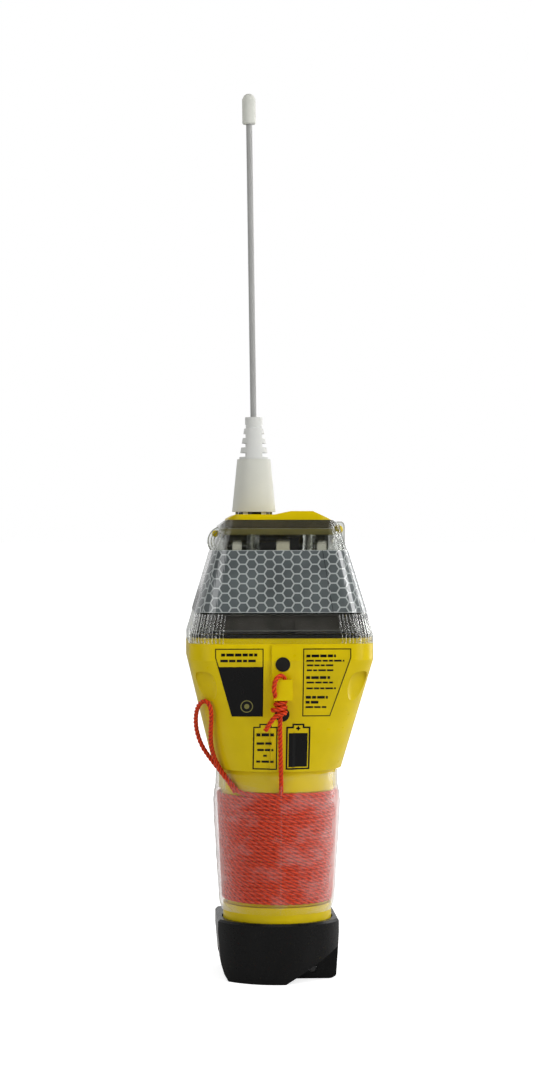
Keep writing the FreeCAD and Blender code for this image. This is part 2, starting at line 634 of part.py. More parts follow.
def make_shell():
    tube = turned("tube", [
        ("tube_bore", "tube_low"), ("groove_low_rad", "tube_low"), ("groove_top_rad", "groove_top"),
        ("neck_rad", "groove_top"), ("neck_rad", "tube_top"), ("tube_bore", "tube_top"),
    ])
    shell = new_body("shell")
    lower, upper = outer_sections()
    loft(shell, lower, upper)
    sketch = sketch_on(shell, "XY_Plane", "taper_top")
    draw_rounded_rectangle(sketch, "body_half_x", "body_half_y", "body_round")
    pad(shell, sketch, "skirt_low - skirt_seat - taper_top")
    hollow_top = ("taper_top", "body_half_x - wall", "body_half_y - wall", "hollow_round")
    loft(shell, ("hollow_low", "hollow_low_half", "hollow_low_half", "hollow_low_round"),
         hollow_top, cuts=True)
    sketch = sketch_on(shell, "XY_Plane", "taper_top - 0.01")
    draw_rounded_rectangle(sketch, *hollow_top[1:])
    pocket(shell, sketch, "20")
    sketch = sketch_on(shell, "XY_Plane", "taper_low - 1")
    draw_circle(sketch, "tube_bore")
    pocket(shell, sketch, "10")
    strip = prism_across("strip", "YZ_Plane", [
        ("strip_root - strip_low_y", "strip_low"), ("- strip_low_y - strip_proud", "strip_low"),
        ("- body_half_y - strip_proud", "taper_top"), ("- body_half_y - strip_proud", "strip_top"),
        ("strip_root - body_half_y", "strip_top"), ("strip_root - body_half_y", "taper_top"),
    ], "strip_half + strip_half", both_ways=True)
    lip = rounded_plate("lip", "skirt_low - 3", "body_top - skirt_low + 3", "body_half_x - lip_step",
                        "body_half_y - lip_step", "body_round - lip_step")
    lip_hole = lip_room("lip_hole", "skirt_low - 4", "10")
    lug = box("lug", ("- lug_half", "- lug_front", "lug_low"), ("lug_half", "- lug_root", "lug_top"))
    posts = ring_of("shell_post", "post_rad", "post_low", "post_top - post_low",
                    "post_at")
    rims = ring_of("shell_post_web", "post_rad", "post_low", "post_top - post_low",
                   "post_web_at")
    solid = fuse("shell_solid", [tube, shell, cut("lip_ring", lip, lip_hole), strip, lug] + posts + rims)
    tools = [cylinder("lug_bore", "lug_bore_rad", ("lug_bore_x", "- lug_bore_y", "lug_low - 1"),
                      "lug_top - lug_low + 2")]
    tools += ring_of("shell_post_hole", "foot_shank_rad + 0.1", "spigot_top", "9", "post_at")
    for name in ("stud_low_z", "stud_high_z"):
        tools.append(front_disc("stud_seat", "stud_rad + play", "4", name, value("stud_thick")))
        tools.append(front_disc("stud_hole", "stem_rad + play", "14", name, value("stem_long") + 2))
    for side_x in (-1, 1):
        for side_y in (-1, 1):
            grip = doc.addObject("Part::Ellipsoid", "grip")
            grip.setExpression("Radius1", bound("grip_deep"))
            grip.setExpression("Radius2", bound("grip_tall"))
            grip.setExpression("Radius3", bound("grip_wide"))
            place = Vector(side_x * value("grip_across"), side_y * value("grip_along"), value("grip_z"))
            outward = Vector(side_x, side_y, -0.32)
            up = Vector(0, 0, 1)
            grip.Placement = Placement(place, Rotation(up, Vector(), outward, "ZXY"))
            tools.append(grip)
    piece(cut("shell_open", solid, fuse("shell_tools", tools)), "body_shell")


def make_contacts():
    for label, name in (("contact_stud_lower", "stud_low_z"), ("contact_stud_upper", "stud_high_z")):
        head = front_disc("stud_head", "stud_rad", "stud_thick + stud_proud - 0.05", name,
                          value("stud_thick") - 0.05)
        stem = front_disc("stud_stem", "stem_rad", "stem_long", name, value("stem_long"))
        piece(fuse("stud", [head, stem]), label)
    nuts = []
    for name in ("stud_low_z", "stud_high_z"):
        depth = value("stem_long") - 0.8
        nut = front_disc("nut", "nut_rad", "nut_thick", name, depth)
        hole = front_disc("nut_hole", "stem_rad + play", "nut_thick + 2", name, depth + 1)
        nuts.append(cut("nut_open", nut, hole))
    piece(group("nuts", nuts), "contact_nuts")


def make_electronics():
    piece(box("main", ("- main_half", "- main_face", "main_low"), ("main_half", "main_face", "main_top")),
          "main_board")
    can_foot = "main_face + part_gap"
    piece(box("radio_can", ("- can_half", can_foot, "can_low"), ("can_half", "can_deep", "can_top")),
          "radio_shield")
    chip_foot = minus(can_foot)
    piece(box("chip", ("- chip_half", chip_foot + " - chip_deep", "chip_low"),
              ("chip_half", chip_foot, "chip_top")), "processor_chip")
    piece(cylinder("reed", "reed_rad", ("reed_x", can_foot + " + reed_rad", "reed_low"),
                   "reed_top - reed_low"), "reed_switch")


# ---------------------------------------------------------------- lens and what it covers

def lens_at(height):
    """Names and sums for the outer section of the lens at a height, worked out in millimetres."""
    low, high = value("lens_low"), value("lens_top")
    share = (height - low) / (high - low)
    pairs = (("lens_low_half_x", "lens_top_half_x"), ("lens_low_half_y", "lens_top_half_y"),
             ("lens_low_round", "lens_top_round"))
    return [value(a) + share * (value(b) - value(a)) for a, b in pairs]


def rim_bevels(name):
    """Two wedges that slope the left and right ends of whatever stands inside the rim."""
    wedges = []
    for side in (-1, 1):
        corners = [("bevel_in", "bevel_top"), ("bevel_out", "bevel_low"), ("bevel_out", "bevel_top + 3"),
                   ("bevel_in", "bevel_top + 3")]
        corners = [(on_side(side, across), up) for across, up in corners]
        wedges.append(prism_across(name, "XZ_Plane", corners, "80", both_ways=True))
    return wedges


def make_lens():
    band = rounded_plate("band", "body_top + 0.05", "band_top - body_top - 0.05",
                         "body_half_x - lip_step", "body_half_y - lip_step", "body_round - lip_step")
    piece(cut("band_open", band, lip_room("band_hole", "body_top - 1", "5")), "gasket_band")
    lens = new_body("lens_shell")
    loft(lens, ("lens_low", "lens_low_half_x", "lens_low_half_y", "lens_low_round"),
         ("lens_top", "lens_top_half_x", "lens_top_half_y", "lens_top_round"))
    skirt = rounded_plate("lens_skirt", "skirt_low", "lens_low - skirt_low", "lens_low_half_x",
                          "lens_low_half_y", "lens_low_round")
    skirt_room = rounded_plate("lens_skirt_room", "skirt_low - 1", "lens_low - skirt_low + 1",
                               "lens_low_half_x - skirt_wall", "lens_low_half_y - skirt_wall",
                               "lens_low_round - skirt_wall")
    room = lofted("lens_room", ("lens_low - 0.1", "lens_low_half_x - lens_wall",
                                "lens_low_half_y - lens_wall", "lens_low_round - lens_wall"),
                  ("room_top", "room_top_half_x", "room_top_half_y", "room_top_round"))
    rim = rounded_plate("lens_rim", "roof_top", "10", "rim_half_x", "rim_half_y", "rim_round")
    outer = fuse("lens_outer", [lens, skirt])
    form = cut("lens_bevelled", outer, fuse("lens_bevels", rim_bevels("rim_bevel")))
    shell = cut("lens_hollow", fuse("lens_solid", [form] + make_ears()),
                fuse("lens_rooms", [room, rim, skirt_room]))
    bosses, bores = [], []
    for x, y in boss_places():
        bosses.append(cylinder("boss", "boss_rad", (x, y, "boss_low"), "room_top - boss_low + 0.5"))
        bores.append(cylinder("boss_bore", "boss_bore_rad", (x, y, "boss_low - 1"),
                              "boss_bore_top - boss_low + 1"))
    for label, side in (("left", -1), ("right", 1)):
        place = (on_side(side, f"pin_{label}_x"), "ear_y - ear_half - 1", f"pin_{label}_z")
        bores.append(cylinder("pin_bore", f"pin_{label}_rad + play", place, "ear_half + ear_half + 2",
                              ALONG_Y))
    bores.append(cylinder("stem_hole", "stem_hole_rad", ("- aerial_x", "0", "room_top - 1"), "8"))
    piece(cut("lens_open", fuse("lens_bossed", [shell] + bosses), fuse("lens_bores", bores)), "lens")
    make_ear_pins()


def make_ears():
    """The left ear is a grooved disc on edge and the right one a square lug, both of them on the rim."""
    front = ("- disc_x", "ear_y - ear_half", "disc_z")
    disc = cylinder("ear_disc", "disc_rad", front, "ear_half + ear_half", ALONG_Y)
    grooves = []
    for start in ("ear_y - ear_half - 1", "ear_y + ear_half - disc_groove_deep"):
        ends = ("- disc_x", start, "disc_z")
        outer = cylinder("ear_groove_out", "disc_groove_out", ends, "disc_groove_deep + 1", ALONG_Y)
        inner = cylinder("ear_groove_in", "disc_groove_in", ends, "disc_groove_deep + 1", ALONG_Y)
        grooves.append(cut("ear_groove", outer, inner))
    above = box("ear_above", ("- disc_x - disc_rad - 1", "ear_y - ear_half - 1", "ear_low"),
                ("0", "ear_y + ear_half + 1", "disc_z + disc_rad + 1"))
    left = common("ear_left", cut("ear_grooved", disc, fuse("ear_grooves", grooves)), above)
    right = prism_across("ear_right", "XZ_Plane", [
        ("lug_ear_root", "ear_low"), ("lug_ear_out", "ear_low"), ("lug_ear_out", "lug_ear_top - 1.9"),
        ("lug_ear_out - 0.6", "lug_ear_top - 0.6"), ("lug_ear_out - 1.9", "lug_ear_top"),
        ("lug_ear_root", "lug_ear_top"),
    ], "ear_half + ear_half", "- ear_y", both_ways=True)
    return [left, right]


def make_ear_pins():
    pins = []
    for label, side in (("left", -1), ("right", 1)):
        place = (on_side(side, f"pin_{label}_x"), "ear_y - pin_face", f"pin_{label}_z")
        shank = cylinder("pin_shank", f"pin_{label}_rad", place, "pin_face + ear_half", ALONG_Y)
        dome = doc.addObject("Part::Sphere", "pin_dome")
        dome.setExpression("Radius", bound(f"pin_{label}_rad"))
        for axis, where in zip("xyz", place):
            dome.setExpression("Placement.Base." + axis, bound(where))
        pins.append(fuse("ear_pin", [shank, dome]))
    piece(group("ear_pin_set", pins), "ear_pins")


def boss_places():
    return [(x, y) for x in ("- boss_left_x", "boss_right_x") for y in ("- boss_y", "boss_y")]


def make_tape():
    """A band that follows the slope of the lens, a hair outside it."""
    bands = []
    for name, gap in (("tape_out", value("tape_gap + tape_thick")), ("tape_in", value("tape_gap"))):
        slack = 0.0 if name == "tape_out" else 1.0
        wires = []
        for height in (value("tape_low") - slack, value("tape_top") + slack):
            half_x, half_y, bend = (size + gap for size in lens_at(height))
            plate = Part.makeBox(2 * half_x, 2 * half_y, 1, Vector(-half_x, -half_y, height))
            corners = [e for e in plate.Edges if e.BoundBox.ZLength > 0.5]
            plate = plate.makeFillet(bend, corners)
            floor = min(plate.Faces, key=lambda f: f.CenterOfMass.z)
            wires.append(floor.OuterWire)
        bands.append(Part.makeLoft(wires, True, True))
    tape = doc.addObject("Part::Feature", "tape")
    tape.Shape = bands[0].cut(bands[1])
    piece(tape, "reflective_tape")


def make_carrier():
    ring = lofted("carrier", ("ring_foot", "ring_low_half_x", "ring_low_half_y", "ring_low_round"),
                  ("ring_head", "ring_top_half_x", "ring_top_half_y", "ring_top_round"))
    hole = rounded_plate("carrier_hole", "ring_foot - 1", "20", "ring_hole_x", "ring_hole_y",
                         "ring_hole_round")
    slot = box("carrier_slot", ("- ring_slot_left", "- lens_low_half_y", "ring_foot - 1"),
               ("ring_slot_right", "- ring_slot_y", "ring_head + 1"))
    piece(cut("carrier_open", ring, fuse("carrier_tools", [hole, slot])), "carrier_ring")
    piece(rounded_plate("deck", "deck_low", "deck_top - deck_low", "ring_hole_x - deck_gap",
                        "ring_hole_y - deck_gap", "ring_hole_round - deck_gap"), "deck_plate")
    posts = []
    for x in ("- standoff_x", "standoff_x"):
        for y in ("- standoff_y", "standoff_y"):
            posts.append(cylinder("standoff", "standoff_rad", (x, y, "deck_top + 0.05"),
                                  "board_low - deck_top - 0.1"))
    piece(group("standoffs", posts), "standoffs")


def make_strobe():
    plate = rounded_plate("strobe", "board_low", "board_top - board_low", "board_half_x",
                          "board_half_y", "board_round")
    holes = [cylinder("board_hole", "board_hole_rad", (x, y, "board_low - 1"), "5")
             for x, y in boss_places()]
    piece(cut("strobe_open", plate, fuse("board_holes", holes)), "strobe_board")
    screws = []
    for x, y in boss_places():
        head = cylinder("board_screw_head", "screw_head_rad", (x, y, "screw_head_low"),
                        "board_low - screw_head_low - 0.05")
        shank = cylinder("board_screw_shank", "screw_rad", (x, y, "board_low - 0.3"),
                         "screw_top - board_low + 0.3")
        screws.append(fuse("board_screw", [head, shank]))
    piece(group("board_screw_set", screws), "board_screws")
    top = "board_top + 0.05"
    leds = []
    for x in ("- led_left_x", "led_right_x"):
        for y in ("- led_y", "led_y"):
            base = box("led_base", (x + " - led_half", y + " - led_half", top),
                       (x + " + led_half", y + " + led_half", top + " + led_tall"))
            window = cylinder("led_window", "led_window_rad", (x, y, top + " + led_tall - 0.5"),
                              "led_window_tall + 0.5")
            leds.append(fuse("led", [base, window]))
    piece(group("led_set", leds), "strobe_leds")
    blocks = {
        "satellite_patch": (("- patch_half", "- patch_half + patch_y", top),
                            ("patch_half", "patch_half + patch_y", top + " + patch_tall")),
        "booster_coil": (("coil_left", "- coil_front", top),
                         ("coil_right", "- coil_back", top + " + coil_tall")),
        "driver_chip": (("- driver_left", "- coil_front", top),
                        ("- driver_right", "- coil_back", top + " + driver_tall")),
        "timer_chip": (("timer_left", "- coil_front", top),
                       ("timer_right", "- coil_back", top + " + timer_tall")),
        "divider_wall": (("- wall_half", "wall_y", top),
                         ("wall_half", "wall_y + wall_thin", "wall_top")),
    }
    for label, (low, high) in blocks.items():
        piece(box(label, low, high), label)
    can_foot = ("0", "sounder_y", top + " + patch_tall + 0.05")
    piece(cylinder("sounder", "sounder_rad", can_foot, "sounder_tall"), "sounder_can")


# ---------------------------------------------------------------- cap and antenna

def make_cap():
    roof = prism_across("cap_roof", "XZ_Plane", [
        ("- cap_half_x", "cap_low"), ("cap_half_x", "cap_low"), ("hump_right", "hump_top"),
        ("hump_left", "hump_top"), ("- hump_foot", "cap_flat"), ("- cap_flat_left", "cap_flat"),
        ("- cap_half_x", "cap_step"),
    ], "cap_half_y + cap_half_y", both_ways=True)
    plan = rounded_plate("cap_plan", "cap_low - 1", "10", "cap_half_x", "cap_half_y", "cap_round")
    plug = rounded_plate("cap_plug", "plug_low", "cap_low - plug_low + 0.2", "plug_half_x",
                         "plug_half_y", "plug_round")
    well = rounded_plate("cap_well", "plug_low - 1", "cap_low - plug_low + 1",
                         "plug_half_x - plug_wall", "plug_half_y - plug_wall", "plug_round - plug_wall")
    pillar = cylinder("cap_pillar", "stem_hole_rad + 2", ("- aerial_x", "0", "plug_low"), "5")
    skirt = fuse("cap_skirt", [cut("cap_ring", plug, well), pillar])
    solid = fuse("cap_solid", [common("cap_top", roof, plan), skirt])
    hole = cylinder("cap_hole", "stem_hole_rad", ("- aerial_x", "0", "plug_low - 1"), "12")
    piece(cut("cap_open", solid, hole), "top_cap")
    ring = rounded_plate("seal_ring", "roof_top + play", "cap_low - roof_top - play - play",
                         "seal_half_x", "seal_half_y", "seal_round")
    bore = rounded_plate("seal_bore", "roof_top - 1", "10", "plug_half_x + play", "plug_half_y + play",
                         "plug_round + play")
    tools = fuse("seal_tools", [bore] + rim_bevels("seal_bevel"))
    piece(cut("seal_open", ring, tools), "cap_seal")


def make_antenna():
    place = "- aerial_x"
    piece(turned("socket", [
        ("0", "socket_stem_low"), ("socket_stem_rad", "socket_stem_low"), ("socket_stem_rad", "socket_low"),
        ("socket_rad", "socket_low"), ("socket_rad", "socket_top"), ("0", "socket_top"),
    ], place), "antenna_socket")
    cone = turned("boot", [
        ("boot_bore", "boot_low"), ("boot_low_rad", "boot_low"), ("boot_top_rad", "boot_top"),
        ("core_rad + 0.1", "boot_top"), ("core_rad + 0.1", "boot_bore_top"), ("boot_bore", "boot_bore_top"),
    ], place)
    foot_ring = turned("boot_feet", [
        ("boot_foot_in", "socket_low"), ("boot_foot_out", "socket_low"), ("boot_foot_out", "boot_low + 0.5"),
        ("boot_foot_in", "boot_low + 0.5"),
    ], place)
    gaps = []
    for turn in (30, 90, 150):
        gap = doc.addObject("Part::Box", "boot_gap")
        gap.Length, gap.Width = 30, 7.4
        gap.setExpression("Height", bound("boot_low - socket_low + 1"))
        spin = Rotation(Vector(0, 0, 1), turn)
        middle = Vector(-value("aerial_x"), 0, value("socket_low") - 1)
        gap.Placement = Placement(middle - spin.multVec(Vector(15, 3.7, 0)), spin)
        gaps.append(gap)
    feet = cut("boot_foot_set", foot_ring, fuse("boot_gaps", gaps))
    piece(fuse("boot_whole", [cone, feet]), "antenna_boot")
    piece(turned("load", [
        ("0", "load_low"), ("load_rad", "load_low"), ("load_rad", "load_top"), ("core_rad", "load_top"),
        ("core_rad", "core_end"), ("0", "core_end"),
    ], place), "loading_coil")
    sleeve = turned("sleeve", [
        ("sleeve_bore", "sleeve_low"), ("sleeve_low_rad", "sleeve_low"),
        ("sleeve_cone_rad", "sleeve_cone_top"),
        ("sleeve_collar_rad", "sleeve_cone_top + 0.4"), ("sleeve_collar_rad", "sleeve_top"),
        ("sleeve_bore", "sleeve_top"),
    ], place)
    slots = []
    for number in range(4):
        low = "slot_first + " + " + ".join(["slot_pitch"] * number + ["0"])
        for near, far in (("- aerial_x + web_half", "- aerial_x + 10"),
                          ("- aerial_x - 10", "- aerial_x - web_half")):
            slots.append(box("sleeve_slot", (near, "- 10", low), (far, "10", low + " + slot_tall")))
    piece(cut("sleeve_cut", sleeve, fuse("sleeve_slots", slots)), "antenna_sleeve")
    lean = Rotation(Vector(0, 1, 0), -value("whip_lean"))
    piece(cylinder("whip", "whip_rad", (place, "0", "whip_low"), "whip_long", lean), "antenna_whip")
    tip = new_body("tip")
    revolve(tip, [
        ("whip_rad + play", "0"), ("tip_rad - 0.4", "0"), ("tip_rad", "0.6"),
        ("tip_rad", "tip_long - tip_round"), ("tip_rad - 1.2", "tip_long - 0.8"),
        ("tip_rad - 2.4", "tip_long"), ("0", "tip_long"), ("0", "tip_socket"),
        ("whip_rad + play", "tip_socket"),
    ])
    reach = value("whip_long") - value("tip_socket") + 2 * value("play")
    foot = Vector(-value("aerial_x"), 0, value("whip_low"))
    tip.Placement = Placement(foot + lean.multVec(Vector(0, 0, reach)), lean)
    piece(tip, "antenna_tip")


# ---------------------------------------------------------------- switch face

def make_switch():
    block = box("house", ("- house_half", "house_root", "house_low"),
                ("house_half", "house_face", "house_top"))
    lower, upper = outer_sections("house_gap")
    body = lofted("house_cutter", lower, upper)
    tools = [
        body,
        box("house_window", ("- window_half", "window_floor", "window_low"),
            ("window_half", "house_face + 1", "window_top")),
        cylinder("house_button_hole", "button_hole_rad", ("button_x", "button_floor", "button_z"),
                 "8", ALONG_Y),
        cylinder("house_light_hole", "light_rad + play", ("- light_x", "light_back", "button_z"),
                 "8", ALONG_Y),
    ]
    piece(cut("house_open", block, fuse("house_tools", tools)), "switch_housing")
    bar = box("slider", ("- slider_left", "slider_back", "slider_low"),
              ("- slider_right", "slider_face", "slider_top"))
    ribs = []
    for number in range(4):
        start = "- slider_left + 2 + " + " + ".join(["rib_pitch"] * number + ["0"])
        ribs.append(box("slider_rib", (start, "slider_face - 0.5", "slider_low + 2"),
                        (start + " + rib_thick", "slider_face + rib_proud", "slider_top - 2")))
    seat = cylinder("slider_seat", "slide_magnet_rad + play",
                    ("- slider_left + 6.8", "slider_back - 1", "seal_mid_z"),
                    "slide_magnet_long + 1.1", ALONG_Y)
    piece(cut("slider_open", fuse("slider_ribbed", [bar] + ribs), seat), "switch_slider")
    piece(cylinder("slider_magnet", "slide_magnet_rad", ("- slider_left + 6.8", "slider_back", "seal_mid_z"),
                   "slide_magnet_long", ALONG_Y), "slider_magnet")
    piece(box("seal", ("- slider_right + 0.05", "house_face + seal_gap", "seal_mid_z - seal_half"),
              ("seal_right", "house_face + seal_gap + seal_thick", "seal_mid_z + seal_half")), "seal_tab")
    piece(cylinder("button", "button_rad", ("button_x", "button_back", "button_z"),
                   "button_face - button_back", ALONG_Y), "test_button")
    piece(cylinder("light", "light_rad", ("- light_x", "light_back + play", "button_z"),
                   "house_face - light_back + light_proud", ALONG_Y), "status_light")


# ---------------------------------------------------------------- lanyard

def run_arcs(points):
    """Straight runs joined by tangent arcs, each as large as its two runs allow."""
    corners = []
    for before, here, after in zip(points, points[1:], points[2:]):
        arrive, leave = here - before, after - here
        half_turn = arrive.getAngle(leave) / 2
        setback = 0.45 * min(arrive.Length, leave.Length)
        arrive.normalize()
        leave.normalize()
        start, end = here - arrive * setback, here + leave * setback
        radius = setback / math.tan(half_turn)
        inward = leave - arrive
        inward.normalize()
        depth = radius / math.cos(half_turn) - radius
        corners.append((start, here + inward * depth, end, radius))
    return corners


def cord(label, route):
    points = [Vector(*place) for place in route]
    corners = run_arcs(points)
    edges, last = [], points[0]
    for start, middle, end, radius in corners:
        edges.append(Part.LineSegment(last, start).toShape())
        edges.append(Part.Arc(start, middle, end).toShape())
        last = end
    edges.append(Part.LineSegment(last, points[-1]).toShape())
    path = Part.Wire(edges)
    half = value("cord_dia") / 2
    profile = Part.Wire(Part.Circle(points[0], points[1] - points[0], half).toShape())
    tube = doc.addObject("Part::Feature", label)
    tube.Shape = path.makePipeShell([profile], True, True)
    expected = math.pi * half ** 2 * path.Length
    print(f"{label}: length {path.Length:.1f}, volume ratio {tube.Shape.Volume / expected:.4f}, "
          f"radii {min(c[3] for c in corners):.1f} to {max(c[3] for c in corners):.1f}")
    piece(tube, label)


def make_lanyard():
    piece(turned("winding", [
        ("groove_low_rad + coil_gap", "coil_low"), ("groove_low_rad + coil_gap + coil_deep", "coil_low"),
        ("groove_top_rad + coil_gap + coil_deep", "coil_top"), ("groove_top_rad + coil_gap", "coil_top"),
    ]), "lanyard_coil")
    knot = doc.addObject("Part::Ellipsoid", "knot")
    for size, half in (("Radius1", "knot_half_z"), ("Radius2", "knot_half_x"), ("Radius3", "knot_half_y")):
        knot.setExpression(size, bound(half))
    for axis, place in zip("xyz", ("- knot_x", "- knot_y", "knot_z")):
        knot.setExpression("Placement.Base." + axis, bound(place))
    piece(knot, "lanyard_knot")
    cord("lanyard_bight", LANYARD_BIGHT)
    cord("lanyard_lead", LANYARD_LEAD)
    cord("lanyard_lug_loop", LANYARD_LUG_LOOP)
    cord("lanyard_tail", LANYARD_TAIL)
    outer = [
        ("film_low_rad", "film_low"), ("film_foot_rad", "film_foot"), ("film_mid_rad", "film_mid"),
        ("film_high_rad", "film_high"), ("film_top_rad", "film_shoulder"), ("film_top_rad", "film_top"),
    ]
    inner = [(radius + " - film_thick", height) for radius, height in reversed(outer)]
    piece(turned("film", outer + inner), "film_sleeve")


# ---------------------------------------------------------------- build, check and write

def check_and_write():
    doc.recompute()
    for item in doc.Objects:
        if "Invalid" in item.State or "Error" in item.State:
            raise RuntimeError(f"{item.Name} ({item.Label}) failed: {item.State}")
    for item in pieces:
        if item.Shape.isNull() or not item.Shape.isValid():
            raise RuntimeError(f"{item.Label} has no valid shape")
    os.makedirs("parts", exist_ok=True)
    for item in pieces:
        item.Shape.exportStep(f"parts/{item.Label}.step")
        bounds = item.Shape.BoundBox
        print(f"{item.Label}: {len(item.Shape.Solids)} solid(s), {item.Shape.Volume:.0f} mm3, "
              f"z {bounds.ZMin:.1f} to {bounds.ZMax:.1f}")


fill_sheet()
make_bracket()
make_foot()
make_batteries()
make_shell()
make_contacts()
make_electronics()
make_lens()
make_tape()
make_carrier()
make_strobe()
make_cap()
make_antenna()
make_switch()
make_lanyard()
check_and_write()
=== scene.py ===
"""Looks of the emergency position beacon: studio, materials, lanyard, film, prints, tape and antenna sleeve.

Metres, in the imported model's frame: +Z up, the lanyard face looks along -Y, the origin is on the tube's
axis in the plane of the bracket's foot.
"""

import math

import bmesh
import bpy
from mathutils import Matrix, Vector, noise
from mathutils.bvhtree import BVHTree


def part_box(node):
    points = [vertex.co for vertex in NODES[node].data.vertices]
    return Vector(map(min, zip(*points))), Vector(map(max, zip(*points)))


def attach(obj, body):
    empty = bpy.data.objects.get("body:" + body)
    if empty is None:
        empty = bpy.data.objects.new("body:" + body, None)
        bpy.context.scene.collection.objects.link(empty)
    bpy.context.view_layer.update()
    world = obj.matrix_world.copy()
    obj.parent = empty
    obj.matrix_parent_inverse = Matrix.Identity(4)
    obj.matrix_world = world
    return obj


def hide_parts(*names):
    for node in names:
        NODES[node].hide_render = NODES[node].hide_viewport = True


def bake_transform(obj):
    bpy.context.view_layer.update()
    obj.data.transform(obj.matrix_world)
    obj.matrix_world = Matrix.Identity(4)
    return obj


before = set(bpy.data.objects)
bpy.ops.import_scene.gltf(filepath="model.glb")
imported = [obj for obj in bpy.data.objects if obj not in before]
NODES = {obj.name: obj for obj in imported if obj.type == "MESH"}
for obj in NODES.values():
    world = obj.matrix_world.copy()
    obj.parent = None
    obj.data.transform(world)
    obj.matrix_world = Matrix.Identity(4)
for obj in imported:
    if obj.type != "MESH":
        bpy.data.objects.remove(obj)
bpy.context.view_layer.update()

# ---------------------------------------------------------------- sizes and places, in metres

CAMERA_TURN = math.radians(3.3)
CAMERA_FAR = 1.316
CAMERA_HIGH = 0.243
CAMERA_SIDE = -0.0054
CAMERA_LENS = 78.33
CAMERA_SENSOR = 36.0

# brightness of the surroundings from in front of the object (0) to behind it (1)
WORLD_FRONT, WORLD_SIDE, WORLD_BACK = (0.20, 0.008), (0.45, 0.08), (0.68, 0.80)
# name, place, width and height, watts
LIGHTS = [
    ("right", (0.84, -0.56, 0.60), (0.40, 1.10), 8),
    ("left", (-0.82, -1.00, 0.66), (0.80, 1.20), 6.5),
    ("above", (0.0, -0.55, 1.50), (1.0, 0.8), 4),
    ("edge", (1.00, 0.60, 0.40), (0.40, 1.20), 6),
]
LIGHTS_AIM = (0, 0, 0.2)
FLOOR_HALF = 150.0
FLOOR_GREY = 0.70
FLOOR_GLOW_NEAR, FLOOR_GLOW_FAR = 0.72, 1.0
FLOOR_NEAR, FLOOR_FAR = 0.10, 0.6

YELLOW = (0.67, 0.50, 0.0)
COAT_ROUGHNESS = 0.07
COAT_IOR = 1.75

CORD = 0.0024
CORD_LAY_FREE = 0.0075
CORD_LAY_WOUND = 0.0125
WINDING_EDGE = 0.106
STRAND = 0.31 * CORD
STRAND_OFF_MIDDLE = 0.26 * CORD
STRAND_POINTS = 6
RING_STEP = 0.0006

COIL_TOP = 0.1035
COIL_LOW = 0.0436
COIL_TOP_RADIUS = 0.03268
COIL_LOW_RADIUS = 0.02975
COIL_PITCH = 0.00236
COIL_POINTS = 20
COIL_START = math.radians(-118)

BIGHT = [
    (-0.0245, -0.0235, 0.1045), (-0.0268, -0.0215, 0.1082), (-0.0300, -0.0186, 0.1124),
    (-0.0342, -0.0176, 0.1178), (-0.0390, -0.0192, 0.1238), (-0.0432, -0.0218, 0.1304),
    (-0.0459, -0.0246, 0.1384), (-0.0465, -0.0282, 0.1454), (-0.0459, -0.0324, 0.1508),
    (-0.0442, -0.0362, 0.1545), (-0.0418, -0.0390, 0.1560), (-0.0396, -0.0403, 0.1546),
    (-0.0385, -0.0400, 0.1511), (-0.0381, -0.0373, 0.1462), (-0.0384, -0.0330, 0.1396),
    (-0.0382, -0.0280, 0.1316), (-0.0364, -0.0238, 0.1240), (-0.0329, -0.0212, 0.1170),
    (-0.0289, -0.0221, 0.1118), (-0.0256, -0.0241, 0.1079), (-0.0226, -0.0256, 0.1044),
]
LEAD = [
    (0.0001, -0.0340, 0.1043), (0.0000, -0.0348, 0.1096), (-0.0002, -0.0370, 0.1150),
    (-0.0006, -0.0403, 0.1220), (-0.0011, -0.0445, 0.1335), (-0.0016, -0.0494, 0.1470),
]
LUG_LOOP = [
    (-0.0006, -0.0500, 0.1526), (0.0003, -0.0501, 0.1560), (0.0008, -0.0503, 0.1608),
    (0.0009, -0.0504, 0.1666), (0.0004, -0.0518, 0.1697), (-0.0022, -0.0544, 0.1701),
    (-0.0043, -0.0560, 0.1680), (-0.0051, -0.0562, 0.1646), (-0.0050, -0.0558, 0.1612),
    (-0.0043, -0.0540, 0.1590),
]
TAIL = [(-0.0048, -0.0525, 0.1477), (-0.0074, -0.0520, 0.1440), (-0.0096, -0.0509, 0.1402)]
KNOT_MIDDLE = (-0.0013, -0.0500)
KNOT_RADIUS = 0.0026
KNOT_TOP = 0.1575
KNOT_LOW = 0.1490
KNOT_TURNS = 2.9
KNOT_FROM = math.radians(205)
KNOT_PER_TURN = 14
KNOT_SLACK = 0.0016

# height and radius
FILM_PROFILE = [(0.0376, 0.0312), (0.0415, 0.0325), (0.0580, 0.0336), (0.0750, 0.0347), (0.0900, 0.0356),
                (0.0980, 0.0358), (0.1030, 0.0353), (0.1065, 0.0346), (0.1144, 0.0343)]
FILM_AROUND = 288
FILM_UP = 150
# how far the film stands out over the bight and the lead, at which angle, how wide
FILM_TENTS = [(0.0024, math.radians(-140), 0.20), (0.0016, math.radians(-90), 0.10)]
TENT_FROM = 0.099
TENT_RISE = 0.008
SEAM_PROUD = 0.00022
SEAM_EDGE_PROUD = 0.00003

# height, half width, half depth and corner radius of the lens, low and high
LENS_LOW = (0.1919, 0.0501, 0.0499, 0.0139)
LENS_TOP = (0.2540, 0.0320, 0.0309, 0.0070)

TAPE_LOW = 0.2037
TAPE_TOP = 0.2374
TAPE_PROUD = 0.00047
CELL_PITCH = 0.0049
CELL_ROW = 0.00544
CELL_LINE = 0.00075
CELL_SLICE = 0.001
CELL_FIRST = -0.0162
CELL_DOWN = 0.0025
SEAM_TOP = 0.0225
SEAM_LOW = 0.0276
SEAM_SLIP = 0.0002
SEAM_HALF = 0.00010

